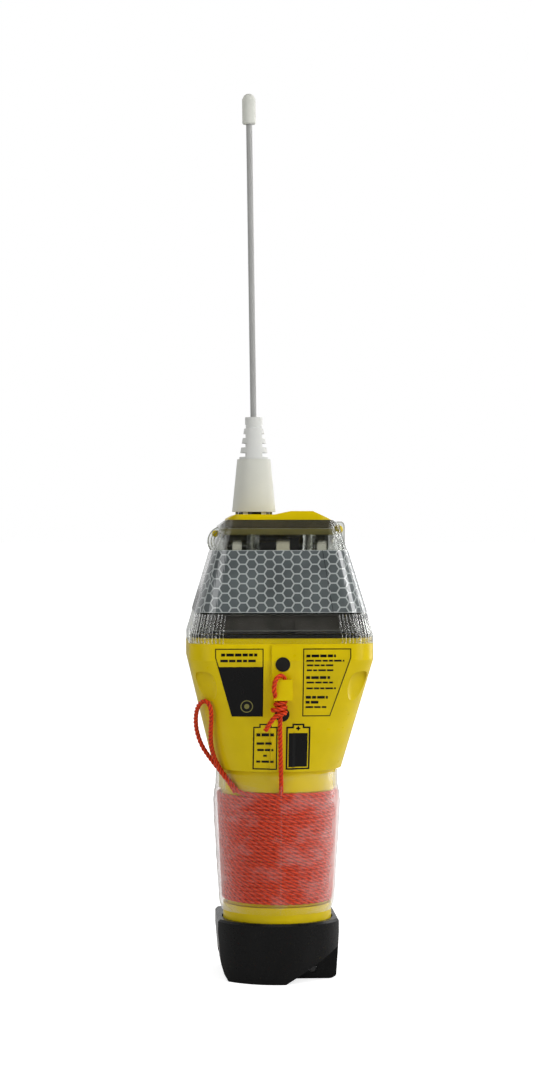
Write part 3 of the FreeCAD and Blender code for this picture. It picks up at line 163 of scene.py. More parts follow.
BODY_GROUND_LIFT, PRINT_LIFT, MARK_LIFT, HOUSING_LIFT = 0.00004, 0.00009, 0.00014, 0.00008
PRINT_STEP = 0.0015
WORD_SHORTEST, WORD_SPREAD, WORD_GAP = 0.0022, 0.0019, 0.0006

# painted highlights on the carrier ring, pale glossy bars at its top and bottom: name, height, radius of the
# bar
HIGHLIGHT_BEADS = [("ring_highlight_bead_low", 0.1938, 0.00050), ("ring_highlight_bead_high", 0.2024, 0.00040)]
HIGHLIGHT_BEAD_INWARD = 0.00285
# band of painted shade under the lens roof: an olive-dark ring standing in for the shaded underside of the
# yellow cap seen through the clear roof
ROOF_SHADE_LOW, ROOF_SHADE_HIGH, ROOF_SHADE_INWARD = 0.2458, 0.2492, 0.0030
FLUTES = 12
FLUTE_PITCH = 0.00195
FLUTE_BEFORE_CORNER = 0.0040
FLUTE_TOP = 0.2026
FLUTE_LEAN = 0.955
FLUTE_SKIRT = 0.0046
# the clear ears' painted dark edge lines: plane, bar radius, middle of the arcs, arc radii, right ear's
# outline
EAR_Y = 0.0014
EAR_LINE = 0.00022
EAR_MIDDLE = (-0.0303, 0.2423)
EAR_ARCS = (0.0083, 0.0066, 0.0050)
EAR_EDGE = [(0.0335, 0.2531), (0.0364, 0.2531), (0.0376, 0.2519), (0.0378, 0.2504), (0.0378, 0.2378)]
PLUGS = [(0.0190, -0.0135), (-0.0190, 0.0345), (0.0190, 0.0345)]
PLUG_HEIGHT = 0.0054
PLUG_RADIUS = 0.00215
PLUG_DISH = 0.0004
SLEEVE_SLICES = 40


# ---------------------------------------------------------------- small helpers

def lerp(a, b, t):
    return a + (b - a) * t


def bump_at(x, middle, width):
    return math.exp(-((x - middle) / width) ** 2)


def profile_at(profile, height):
    """Radius of a (height, radius) profile at a height."""
    if height <= profile[0][0]:
        return profile[0][1]
    for (z0, r0), (z1, r1) in zip(profile, profile[1:]):
        if height <= z1:
            return lerp(r0, r1, (height - z0) / (z1 - z0))
    return profile[-1][1]


def placed(name, data):
    """A new object in the scene with this data."""
    thing = bpy.data.objects.new(name, data)
    bpy.context.scene.collection.objects.link(thing)
    return thing


def mesh_piece(name, points, faces, material, body="beacon", smooth=True):
    mesh = bpy.data.meshes.new(name)
    mesh.from_pydata([tuple(p) for p in points], [], faces)
    mesh.validate()
    mesh.polygons.foreach_set("use_smooth", [smooth] * len(mesh.polygons))
    mesh.materials.append(material)
    piece = placed(name, mesh)
    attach(piece, body)
    return piece


# ---------------------------------------------------------------- studio

def make_camera():
    forward = Vector((math.sin(CAMERA_TURN), math.cos(CAMERA_TURN), 0))
    right = Vector((math.cos(CAMERA_TURN), -math.sin(CAMERA_TURN), 0))
    data = bpy.data.cameras.new("camera")
    data.sensor_fit = "VERTICAL"
    data.sensor_height = CAMERA_SENSOR
    data.lens = CAMERA_LENS
    data.clip_start = 0.01
    data.clip_end = 500
    camera = placed("camera", data)
    camera.location = Vector((0, 0, CAMERA_HIGH)) - forward * CAMERA_FAR + right * CAMERA_SIDE
    camera.rotation_euler = (math.radians(90), 0, -CAMERA_TURN)
    bpy.context.scene.camera = camera


def grey(value):
    return (value, value, value, 1)


def make_world():
    """White for the camera; for the object a pale studio that is darker in front."""
    world = bpy.data.worlds.new("studio")
    bpy.context.scene.world = world
    world.use_nodes = True
    tree = world.node_tree
    tree.nodes.clear()
    new, link = tree.nodes.new, tree.links.new
    coords = new("ShaderNodeTexCoord")
    split = new("ShaderNodeSeparateXYZ")
    link(coords.outputs["Generated"], split.inputs[0])
    ramp = new("ShaderNodeValToRGB")
    link(maths(tree, "MULTIPLY_ADD", split.outputs["Y"], 0.5, 0.5), ramp.inputs[0])
    stops = ramp.color_ramp.elements
    stops[0].position, stops[0].color = WORLD_FRONT[0], grey(WORLD_FRONT[1])
    stops[1].position, stops[1].color = WORLD_BACK[0], grey(WORLD_BACK[1])
    stops.new(WORLD_SIDE[0]).color = grey(WORLD_SIDE[1])
    lit = new("ShaderNodeBackground")
    link(ramp.outputs[0], lit.inputs[0])
    seen = new("ShaderNodeBackground")
    seen.inputs[0].default_value = grey(1)
    path = new("ShaderNodeLightPath")
    mix = new("ShaderNodeMixShader")
    out = new("ShaderNodeOutputWorld")
    link(path.outputs["Is Camera Ray"], mix.inputs[0])
    link(lit.outputs[0], mix.inputs[1])
    link(seen.outputs[0], mix.inputs[2])
    link(mix.outputs[0], out.inputs[0])


def make_light(name, place, size, watts):
    data = bpy.data.lights.new(name, "AREA")
    data.shape = "RECTANGLE"
    data.size, data.size_y = size
    data.energy = watts
    light = placed(name, data)
    light.location = place
    light.rotation_euler = (Vector(LIGHTS_AIM) - Vector(place)).to_track_quat("-Z", "Y").to_euler()


def make_floor():
    """White paper that glows for the camera alone, more of it far from the object, so that it has no edge."""
    half = FLOOR_HALF
    mesh = bpy.data.meshes.new("floor")
    mesh.from_pydata([(-half, -half, 0), (half, -half, 0), (half, half, 0), (-half, half, 0)], [],
                     [(0, 1, 2, 3)])
    material, tree, shader = new_material("floor_paper")
    shader.inputs["Base Color"].default_value = grey(FLOOR_GREY)
    shader.inputs["Roughness"].default_value = 0.9
    shader.inputs["Specular IOR Level"].default_value = 0.1
    shader.inputs["Emission Color"].default_value = grey(1)
    coords = tree.nodes.new("ShaderNodeTexCoord")
    far = tree.nodes.new("ShaderNodeVectorMath")
    far.operation = "LENGTH"
    tree.links.new(coords.outputs["Object"], far.inputs[0])
    glow = ranged(tree, far.outputs["Value"], FLOOR_GLOW_NEAR, FLOOR_GLOW_FAR, FLOOR_NEAR, FLOOR_FAR)
    path = tree.nodes.new("ShaderNodeLightPath")
    tree.links.new(maths(tree, "MULTIPLY", glow, path.outputs["Is Camera Ray"]),
                   shader.inputs["Emission Strength"])
    mesh.materials.append(material)
    floor = placed("floor", mesh)


# ---------------------------------------------------------------- materials

def new_material(name):
    material = bpy.data.materials.new(name)
    material.use_nodes = True
    return material, material.node_tree, material.node_tree.nodes["Principled BSDF"]


def maths(tree, operation, *values):
    """A sum on sockets and numbers."""
    node = tree.nodes.new("ShaderNodeMath")
    node.operation = operation
    for number, value in enumerate(values):
        if isinstance(value, (int, float)):
            node.inputs[number].default_value = value
        else:
            tree.links.new(value, node.inputs[number])
    return node.outputs[0]


def object_noise(tree, scale, detail=3.0, stretch=(1, 1, 1), rough=0.55):
    """Noise over the object's own coordinates, in metres."""
    coords = tree.nodes.new("ShaderNodeTexCoord")
    scaled = tree.nodes.new("ShaderNodeMapping")
    scaled.inputs["Scale"].default_value = stretch
    grain = tree.nodes.new("ShaderNodeTexNoise")
    grain.inputs["Scale"].default_value = scale
    grain.inputs["Detail"].default_value = detail
    grain.inputs["Roughness"].default_value = rough
    tree.links.new(coords.outputs["Object"], scaled.inputs[0])
    tree.links.new(scaled.outputs[0], grain.inputs["Vector"])
    return grain.outputs["Fac"]


def ranged(tree, factor, low, high, start=0.3, end=0.7):
    node = tree.nodes.new("ShaderNodeMapRange")
    node.inputs["From Min"].default_value = start
    node.inputs["From Max"].default_value = end
    node.inputs["To Min"].default_value = low
    node.inputs["To Max"].default_value = high
    tree.links.new(factor, node.inputs["Value"])
    return node.outputs["Result"]


def blended(tree, factor, first, second):
    mix = tree.nodes.new("ShaderNodeMix")
    mix.data_type = "RGBA"
    mix.inputs["A"].default_value = (*first, 1)
    mix.inputs["B"].default_value = (*second, 1)
    tree.links.new(factor, mix.inputs["Factor"])
    return mix.outputs["Result"]


def add_bump(tree, shader, height, depth):
    bump = tree.nodes.new("ShaderNodeBump")
    bump.inputs["Strength"].default_value = 1.0
    bump.inputs["Distance"].default_value = depth
    tree.links.new(height, bump.inputs["Height"])
    tree.links.new(bump.outputs[0], shader.inputs["Normal"])


def moulded(name, colour, rough, worn=0.06, grain=900.0, depth=0.00003, specular=0.5, coat=0.0):
    """Moulded plastic or rubber: a faint mottle, uneven gloss and a fine grain."""
    material, tree, shader = new_material(name)
    mottle = object_noise(tree, 60.0)
    dark = tuple(c * (1 - worn) for c in colour)
    light = tuple(min(1.0, c * (1 + worn)) for c in colour)
    tree.links.new(blended(tree, ranged(tree, mottle, 0, 1), dark, light), shader.inputs["Base Color"])
    gloss = object_noise(tree, 220.0)
    tree.links.new(ranged(tree, gloss, rough * 0.85, rough * 1.2), shader.inputs["Roughness"])
    add_bump(tree, shader, object_noise(tree, grain, 2.0), depth)
    shader.inputs["Specular IOR Level"].default_value = specular
    shader.inputs["Coat Weight"].default_value = coat
    shader.inputs["Coat Roughness"].default_value = COAT_ROUGHNESS
    shader.inputs["Coat IOR"].default_value = COAT_IOR
    return material


def metal(name, colour, rough):
    material, tree, shader = new_material(name)
    tree.links.new(blended(tree, object_noise(tree, 300.0), tuple(c * 0.8 for c in colour), colour),
                   shader.inputs["Base Color"])
    shader.inputs["Metallic"].default_value = 1.0
    tree.links.new(ranged(tree, object_noise(tree, 500.0), rough * 0.8, rough * 1.3),
                   shader.inputs["Roughness"])
    return material


def threaded(name, colour, pitch):
    """Metal with a screw thread drawn as a bump along Z."""
    material = metal(name, colour, 0.3)
    tree = material.node_tree
    shader = tree.nodes["Principled BSDF"]
    coords = tree.nodes.new("ShaderNodeTexCoord")
    wave = tree.nodes.new("ShaderNodeTexWave")
    wave.bands_direction = "Z"
    wave.inputs["Scale"].default_value = 1 / (pitch * 20)
    tree.links.new(coords.outputs["Object"], wave.inputs["Vector"])
    add_bump(tree, shader, wave.outputs["Fac"], 0.0004)
    return material


def clear(name, colour, rough, alpha_face, alpha_edge, haze=0.0):
    """Clear sheet that shows what is behind it, denser where it is seen edge on, with patches of haze."""
    material, tree, shader = new_material(name)
    shader.inputs["Base Color"].default_value = (*colour, 1)
    tree.links.new(ranged(tree, object_noise(tree, 90.0), rough * 0.7, rough * 1.4),
                   shader.inputs["Roughness"])
    edge = tree.nodes.new("ShaderNodeLayerWeight")
    edge.inputs["Blend"].default_value = 0.35
    steep = maths(tree, "POWER", edge.outputs["Facing"], 1.9)
    patches = ranged(tree, object_noise(tree, 55.0, 3.0, (1, 1, 1.8)), 0.0, haze, 0.52, 0.74)
    total = maths(tree, "ADD", ranged(tree, steep, alpha_face, alpha_edge, 0.0, 1.0), patches)
    total.node.use_clamp = True
    tree.links.new(total, shader.inputs["Alpha"])
    return material


def glass_that_lights(name, tint, rough, straight):
    """Clear moulding that bends part of what is seen through it and lets the lamps through."""
    material, tree, shader = new_material(name)
    shader.inputs["Base Color"].default_value = (*tint, 1)
    shader.inputs["Transmission Weight"].default_value = 1.0
    shader.inputs["Roughness"].default_value = rough
    shader.inputs["IOR"].default_value = 1.49
    out = tree.nodes["Material Output"]
    lets = tree.nodes.new("ShaderNodeBsdfTransparent")
    lets.inputs[0].default_value = (*[c * 0.9 for c in tint], 1)
    path = tree.nodes.new("ShaderNodeLightPath")
    mix = tree.nodes.new("ShaderNodeMixShader")
    tree.links.new(maths(tree, "MAXIMUM", path.outputs["Is Shadow Ray"], straight), mix.inputs[0])
    tree.links.new(shader.outputs[0], mix.inputs[1])
    tree.links.new(lets.outputs[0], mix.inputs[2])
    tree.links.new(mix.outputs[0], out.inputs["Surface"])
    return material


def rope_material():
    """Polypropylene strands: streaks along the fibres, with painted shade in the grooves between strands."""
    material, tree, shader = new_material("lanyard_rope")
    new, link = tree.nodes.new, tree.links.new
    uv = new("ShaderNodeUVMap")
    uv.uv_map = "fibre"
    split = new("ShaderNodeSeparateXYZ")
    link(uv.outputs[0], split.inputs[0])
    stretch = new("ShaderNodeMapping")
    stretch.inputs["Scale"].default_value = (24.0, 240.0, 1.0)
    link(uv.outputs[0], stretch.inputs[0])
    streak = new("ShaderNodeTexNoise")
    streak.inputs["Scale"].default_value = 1.0
    streak.inputs["Detail"].default_value = 3.0
    link(stretch.outputs[0], streak.inputs["Vector"])
    # painted shade: the colour is multiplied darker towards each strand's edges, in the grooves between
    # strands
    groove_painted_shade_across = maths(tree, "PINGPONG", split.outputs["X"], 0.5)
    bright = blended(tree, ranged(tree, streak.outputs["Fac"], 0, 1),
                     (0.60, 0.034, 0.001), (0.86, 0.062, 0.003))
    shade = new("ShaderNodeMix")
    shade.data_type = "RGBA"
    shade.blend_type = "MULTIPLY"
    shade.inputs["Factor"].default_value = 1.0
    link(bright, shade.inputs["A"])
    link(blended(tree, ranged(tree, groove_painted_shade_across, 0, 1, 0.0, 0.30), (0.45, 0.30, 0.30), (1, 1, 1)),
         shade.inputs["B"])
    link(shade.outputs["Result"], shader.inputs["Base Color"])
    shader.inputs["Roughness"].default_value = 0.45
    shader.inputs["Specular IOR Level"].default_value = 0.25
    add_bump(tree, shader, streak.outputs["Fac"], 0.00012)
    return material


def ink(name, colour, rough=0.3):
    return moulded(name, colour, rough, worn=0.1, grain=1500.0, depth=0.000004, specular=0.15)


# ---------------------------------------------------------------- rope

def spline_line(name, points):
    """Points along a NURBS spline that has the given control points."""
    curve = bpy.data.curves.new(name, "CURVE")
    curve.dimensions = "3D"
    curve.resolution_u = 12
    spline = curve.splines.new("NURBS")
    spline.points.add(len(points) - 1)
    for point, place in zip(spline.points, points):
        point.co = (*place, 1)
    spline.order_u = 3
    spline.use_endpoint_u = True
    holder = placed(name, curve)
    bpy.context.view_layer.update()
    mesh = bpy.data.meshes.new_from_object(holder)
    line = [v.co.copy() for v in mesh.vertices]
    bpy.data.meshes.remove(mesh)
    bpy.data.objects.remove(holder)
    bpy.data.curves.remove(curve)
    return line


def evenly(line, step):
    """The line's points again, a step apart."""
    out, left = [line[0]], step
    for start, end in zip(line, line[1:]):
        run = (end - start).length
        while run > 0 and left <= run:
            out.append(start + (end - start) * (left / run))
            left += step
        left -= run
    return out


def strand_section():
    """Outline of three round strands pressed together, as (angle, radius, place across its strand)."""
    section = []
    for lobe in range(3):
        for number in range(STRAND_POINTS):
            across = -math.pi / 3 + number * 2 * math.pi / 3 / STRAND_POINTS
            side = STRAND_OFF_MIDDLE * math.sin(across)
            radius = STRAND_OFF_MIDDLE * math.cos(across) + math.sqrt(STRAND ** 2 - side ** 2)
            section.append((lobe * 2 * math.pi / 3 + across, radius, lobe + number / STRAND_POINTS))
    return section


def rope(name, line, material):
    """A laid rope of three strands that twist about the line, with a longer lay where it is wound tight."""
    section = strand_section()
    count = len(section)
    tangent = (line[1] - line[0]).normalized()
    normal = tangent.orthogonal().normalized()
    points, twist, travelled = [], 0.0, 0.0
    along = []
    for number, centre in enumerate(line):
        ahead = line[min(number + 1, len(line) - 1)] - line[max(number - 1, 0)]
        tangent = ahead.normalized()
        normal = (normal - tangent * normal.dot(tangent)).normalized()
        binormal = tangent.cross(normal)
        if number:
            step = (centre - line[number - 1]).length
            travelled += step
            twist += 2 * math.pi * step / (CORD_LAY_WOUND if centre.z < WINDING_EDGE else CORD_LAY_FREE)
        along.append(travelled)
        for angle, radius, _ in section:
            turn = angle + twist
            points.append(centre + (normal * math.cos(turn) + binormal * math.sin(turn)) * radius)
    faces, places = [], []
    for ring in range(len(line) - 1):
        for number in range(count):
            following = (number + 1) % count
            a, b = ring * count + number, ring * count + following
            faces.append((a, b, b + count, a + count))
            across = section[number][2]
            beside = across + 1 / STRAND_POINTS
            places += [(across, along[ring]), (beside, along[ring]),
                       (beside, along[ring + 1]), (across, along[ring + 1])]
    for ring, flip in ((0, True), (len(line) - 1, False)):
        rim = [ring * count + n for n in range(count)]
        faces.append(tuple(reversed(rim)) if flip else tuple(rim))
        places += [(0.5, along[ring])] * count
    mesh = bpy.data.meshes.new(name)
    mesh.from_pydata([tuple(p) for p in points], [], faces)
    mesh.polygons.foreach_set("use_smooth", [True] * len(faces))
    layer = mesh.uv_layers.new(name="fibre")
    layer.data.foreach_set("uv", [value for pair in places for value in pair])
    mesh.materials.append(material)
    return placed(name, mesh)


def coil_points():
    """Turns round the tube from the top down, a little uneven, as a hand winds them."""
    turns = (COIL_TOP - COIL_LOW) / COIL_PITCH
    grow = 1 / math.cos(math.pi / COIL_POINTS)
    points = []
    for number in range(int(turns * COIL_POINTS) + 1):
        share = number / (turns * COIL_POINTS)
        angle = COIL_START + number * 2 * math.pi / COIL_POINTS
        wobble = noise.noise(Vector((number * 0.11, 3.0, 0)))
        lift = noise.noise(Vector((number * 0.13, 9.0, 0)))
        radius = lerp(COIL_TOP_RADIUS, COIL_LOW_RADIUS, share) * grow + 0.00010 * wobble
        height = lerp(COIL_TOP, COIL_LOW, share) + 0.00018 * lift
        points.append((radius * math.cos(angle), radius * math.sin(angle), height))
    return points


def knot_points():
    """Wraps round the standing part, one of them slack on the left."""
    points = []
    for number in range(int(KNOT_TURNS * KNOT_PER_TURN) + 1):
        share = number / (KNOT_TURNS * KNOT_PER_TURN)
        angle = KNOT_FROM - number * 2 * math.pi / KNOT_PER_TURN
        slack = KNOT_SLACK * bump_at(share, 0.70, 0.08)
        radius = KNOT_RADIUS / math.cos(math.pi / KNOT_PER_TURN) + slack
        points.append((KNOT_MIDDLE[0] + radius * math.cos(angle), KNOT_MIDDLE[1] + radius * math.sin(angle),
                       lerp(KNOT_TOP, KNOT_LOW, share)))
    return points


def make_lanyard(material):
    """The one real cord as two: bight and winding, then lead, lug loop, knot and tail."""
    main_line = evenly(spline_line("main_route", BIGHT + coil_points()), RING_STEP)
    main = rope("lanyard_rope", main_line, material)
    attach(main, "beacon")
    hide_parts("lanyard_bight", "lanyard_coil")
    lead_line = evenly(spline_line("lead_route", LEAD + LUG_LOOP + knot_points() + TAIL), RING_STEP / 2)
    lead = rope("lanyard_tie", lead_line, material)
    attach(lead, "beacon")
    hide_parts("lanyard_lead", "lanyard_lug_loop", "lanyard_knot", "lanyard_tail")


# ---------------------------------------------------------------- film

def film_radius(angle, height):
    """Shrink film over the winding: tight on it, tented over the cords that pass under its top edge."""
    radius = profile_at(FILM_PROFILE, height)
    near_top = max(0.0, min(1.0, (height - TENT_FROM) / TENT_RISE))
    for proud, middle, width in FILM_TENTS:
        radius += proud * near_top * bump_at(angle, middle, width)
    place = Vector((math.cos(angle) * 3.0, math.sin(angle) * 3.0, height * 90))
    radius += 0.00025 * noise.noise(place) + 0.00012 * noise.noise(place * 3.1)
    crease = bump_at(angle, math.radians(-112), 0.30) * bump_at(height, 0.1055, 0.0045)
    radius += 0.0008 * crease * math.sin(height * 2600 + angle * 14)
    radius -= 0.0007 * max(0.0, math.cos(angle))
    return radius


def make_film(material, seam_material):
    points, faces = [], []
    low, high = FILM_PROFILE[0][0], FILM_PROFILE[-1][0]
    for row in range(FILM_UP + 1):
        for column in range(FILM_AROUND):
            angle = -math.pi + 2 * math.pi * column / FILM_AROUND
            rim = 0.0004 * noise.noise(Vector((math.cos(angle) * 4, math.sin(angle) * 4, 5)))
            height = lerp(low, high, row / FILM_UP) + rim * row / FILM_UP
            radius = film_radius(angle, height)
            points.append((radius * math.cos(angle), radius * math.sin(angle), height))
    for row in range(FILM_UP):
        for column in range(FILM_AROUND):
            following = (column + 1) % FILM_AROUND
            a, b = row * FILM_AROUND + column, row * FILM_AROUND + following
            faces.append((a, b, b + FILM_AROUND, a + FILM_AROUND))
    film = mesh_piece("shrink_film", points, faces, material)
    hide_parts("film_sleeve")
    make_film_seam(seam_material, low, high)


def make_film_seam(material, low, high):
    """The welded line down the front of the film."""
    points, faces, half, rows = [], [], 0.00018, 60
    for row in range(rows + 1):
        height = lerp(low, high, row / rows)
        for side in (-1, 0, 1):
            angle = math.radians(-90) + side * half / 0.034
            radius = film_radius(angle, height) + (SEAM_PROUD if side == 0 else SEAM_EDGE_PROUD)
            points.append((radius * math.cos(angle), radius * math.sin(angle), height))
    for row in range(rows):
        for side in (0, 1):
            a = row * 3 + side
            faces.append((a, a + 1, a + 4, a + 3))
    mesh_piece("film_seam", points, faces, material)


# ---------------------------------------------------------------- reflective tape

def lens_outline(height, proud):
    """Half width, half depth and corner radius of the lens at a height, moved outward."""
    share = (height - LENS_LOW[0]) / (LENS_TOP[0] - LENS_LOW[0])
    return [lerp(a, b, share) + proud for a, b in zip(LENS_LOW[1:], LENS_TOP[1:])]


def round_the_lens(along, height, proud):
    """The point at a distance round the lens from the middle of its front, at a height."""
    half_x, half_y, bend = lens_outline(height, proud)
    side = 1 if along >= 0 else -1
    left = abs(along)
    flat_x, flat_y, quarter = half_x - bend, half_y - bend, bend * math.pi / 2
    if left <= flat_x:
        return Vector((side * left, -half_y, height))
    left -= flat_x
    if left <= quarter:
        turn = left / bend
        return Vector((side * (flat_x + bend * math.sin(turn)), -flat_y - bend * math.cos(turn), height))
    left -= quarter
    if left <= 2 * flat_y:
        return Vector((side * half_x, -flat_y + left, height))
    left -= 2 * flat_y
    if left <= quarter:
        turn = left / bend
        return Vector((side * (flat_x + bend * math.cos(turn)), flat_y + bend * math.sin(turn), height))
    left = min(left - quarter, flat_x)
    return Vector((side * (flat_x - left), half_y, height))


def half_way_round(height, proud):
    half_x, half_y, bend = lens_outline(height, proud)
    return 2 * (half_x - bend) + 2 * (half_y - bend) + math.pi * bend


def clipped(outline, keep):
    """The part of a convex outline where keep(point) is positive."""
    out = []
    for here, after in zip(outline, outline[1:] + outline[:1]):
        a, b = keep(here), keep(after)
        if a >= 0:
            out.append(here)
        if (a >= 0) != (b >= 0):
            t = a / (a - b)
            out.append((lerp(here[0], after[0], t), lerp(here[1], after[1], t)))
    return out


TAPE_SLOPE = math.hypot(LENS_TOP[0] - LENS_LOW[0], LENS_LOW[2] - LENS_TOP[2]) / (LENS_TOP[0] - LENS_LOW[0])
TAPE_TALL = (TAPE_TOP - TAPE_LOW) * TAPE_SLOPE


def seam_at(down):
    """How far right of the middle of the front the tape's seam is, at a distance down the tape."""
    return lerp(SEAM_TOP, SEAM_LOW, down / TAPE_TALL)


def corner_at(face, down):
    """Distance from the middle of a face of the lens to the middle of its corner."""
    half_x, half_y, bend = lens_outline(TAPE_TOP - down / TAPE_SLOPE, TAPE_PROUD)
    return (half_y if face % 2 else half_x) - bend + bend * math.pi / 4


def cell_outline(face, side, across, down):
    """A hexagon on a flat strip of tape, cut at the tape's edges, at the seam and at the face's corners."""
    wide, half_tall = CELL_PITCH / 1.5, CELL_ROW / 2
    shrink = 1 - CELL_LINE / CELL_ROW
    margin = CELL_LINE * 0.4
    slip = SEAM_SLIP if side > 0 else 0
    corners = [(wide, 0), (wide / 2, half_tall), (-wide / 2, half_tall), (-wide, 0),
               (-wide / 2, -half_tall), (wide / 2, -half_tall)]
    outline = [(across + slip + x * shrink, down - slip + y * shrink) for x, y in corners]
    for keep in (lambda p: p[1] - margin,
                 lambda p: TAPE_TALL - margin - p[1],
                 lambda p: side * (p[0] - seam_at(p[1])),
                 lambda p: corner_at(face, p[1]) - margin - abs(p[0])):
        outline = clipped(outline, keep)
    return outline


def make_tape_cells(material, seam_material):
    """Dark hexagonal cells on the tape, which leave its pale net between them; face 0 is the front."""
    points, faces = [], []
    for face in range(4):
        form = bmesh.new()
        for column in range(-14, 15):
            for row in range(-1, int(TAPE_TALL / CELL_ROW) + 3):
                across = (CELL_FIRST if face == 0 else 0.0) + column * CELL_PITCH
                down = CELL_DOWN + row * CELL_ROW + (CELL_ROW / 2 if column % 2 else 0)
                for side in (-1, 1) if face == 0 else (0,):
                    outline = cell_outline(face, side, across, down)
                    if len(outline) >= 3:
                        form.faces.new([form.verts.new((x, y, 0)) for x, y in outline])
        for number in range(-50, 51):
            bmesh.ops.bisect_plane(form, geom=form.verts[:] + form.edges[:] + form.faces[:],
                                   plane_co=(number * CELL_SLICE, 0, 0), plane_no=(1, 0, 0))
        form.verts.index_update()
        faces += [[len(points) + v.index for v in reversed(f.verts)] for f in form.faces]
        for vertex in form.verts:
            height = TAPE_TOP - vertex.co.y / TAPE_SLOPE
            half = half_way_round(height, TAPE_PROUD)
            along = vertex.co.x + (0, half / 2, half, -half / 2)[face]
            along -= 2 * half if along > half else 0
            points.append(round_the_lens(along, height, TAPE_PROUD))
        form.free()
    mesh_piece("tape_cells", points, faces, material, smooth=False)
    points, steps = [], 8
    for row in range(steps + 1):
        down = TAPE_TALL * row / steps
        for shift in (-SEAM_HALF, SEAM_HALF):
            points.append(round_the_lens(seam_at(down) + shift, TAPE_TOP - down / TAPE_SLOPE,
                                         TAPE_PROUD * 1.1))
    faces = [(2 * n, 2 * n + 1, 2 * n + 3, 2 * n + 2) for n in range(steps)]
    mesh_piece("tape_seam", points, faces, seam_material)


# ---------------------------------------------------------------- prints on the body

def skin_of(node):
    mesh = NODES[node].data
    return BVHTree.FromPolygons([v.co.copy() for v in mesh.vertices],
                                [tuple(p.vertices) for p in mesh.polygons])


BODY_SKIN = skin_of("body_shell")
HOUSING_SKIN = skin_of("switch_housing")


def inset(outline, width):
    """The outline moved inwards by a width; it runs anticlockwise."""
    lines = []
    for here, after in zip(outline, outline[1:] + outline[:1]):
        run = (Vector(after) - Vector(here)).normalized()
        lines.append((Vector(here) + Vector((-run.y, run.x)) * width, run))
    corners = []
    for (a, u), (b, v) in zip(lines[-1:] + lines[:-1], lines):
        cross = u.x * v.y - u.y * v.x
        reach = ((b.x - a.x) * v.y - (b.y - a.y) * v.x) / cross
        corners.append(tuple(a + u * reach))
    return corners


def bars(lines):
    """Plain bars in place of lines of print: (left, right, height, thickness), broken into words."""
    shapes = []
    for number, (left, right, height, thick) in enumerate(lines):
        start, word = left, 0
        while start < right - 0.0008:
            size = WORD_SHORTEST + WORD_SPREAD * ((word * 7 + number * 3) % 4) / 3
            end = min(start + size, right)
            shapes.append([(start, height - thick / 2), (end, height - thick / 2),
                           (end, height + thick / 2), (start, height + thick / 2)])
            start, word = end + WORD_GAP, word + 1
    return shapes


def ring_shapes(middle, radius, width, count=32):
    """Four-sided shapes that together draw a ring."""
    shapes, inner = [], radius - width
    for number in range(count):
        first, last = (2 * math.pi * n / count for n in (number, number + 1))
        shapes.append([(middle[0] + r * math.cos(a), middle[1] + r * math.sin(a))
                       for r, a in ((inner, first), (radius, first), (radius, last), (inner, last))])
    return shapes


def line_round(outline, width):
    """Four-sided shapes that together draw a line just inside an outline."""
    inner = inset(outline, width)
    count = len(outline)
    return [[outline[n], outline[(n + 1) % count], inner[(n + 1) % count], inner[n]] for n in range(count)]


def printed(name, shapes, material, lift, side=-1, skin=BODY_SKIN):
    """Flat shapes in x and z laid on a skin's front (side -1) or back, cut finely enough to follow it."""
    form = bmesh.new()
    for shape in shapes:
        form.faces.new([form.verts.new((x, 0, z)) for x, z in shape])
    step = PRINT_STEP
    xs = [v.co.x for v in form.verts]
    zs = [v.co.z for v in form.verts]
    for axis, low, high in ((0, min(xs), max(xs)), (2, min(zs), max(zs))):
        direction = Vector((1, 0, 0)) if axis == 0 else Vector((0, 0, 1))
        for number in range(int(low / step), int(high / step) + 1):
            everything = form.verts[:] + form.edges[:] + form.faces[:]
            bmesh.ops.bisect_plane(form, geom=everything, plane_co=direction * (number * step),
                                   plane_no=direction)
    for vertex in form.verts:
        start = Vector((vertex.co.x, side * 0.09, vertex.co.z))
        place, normal, _, _ = skin.ray_cast(start, Vector((0, -side, 0)))
        vertex.co = place + normal * lift
    bmesh.ops.recalc_face_normals(form, faces=form.faces)
    mesh = bpy.data.meshes.new(name)
    form.to_mesh(mesh)
    form.free()
    facing = sum(p.normal.y * p.area for p in mesh.polygons)
    if facing * side < 0:
        mesh.flip_normals()
    mesh.materials.append(material)
    piece = placed(name, mesh)
    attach(piece, "beacon")


def battery_outline(side):
    """A battery with its pole on top, left (-1) or right (1) of the middle."""
    near, far = 0.00235, 0.01555
    left, right = (near, far) if side > 0 else (-far, -near)
    centre = side * 0.00895
    return [(left, 0.1179), (right, 0.1179), (right, 0.1418), (centre + 0.0033, 0.1418),
            (centre + 0.0033, 0.1434), (centre - 0.0033, 0.1434), (centre - 0.0033, 0.1418), (left, 0.1418)]


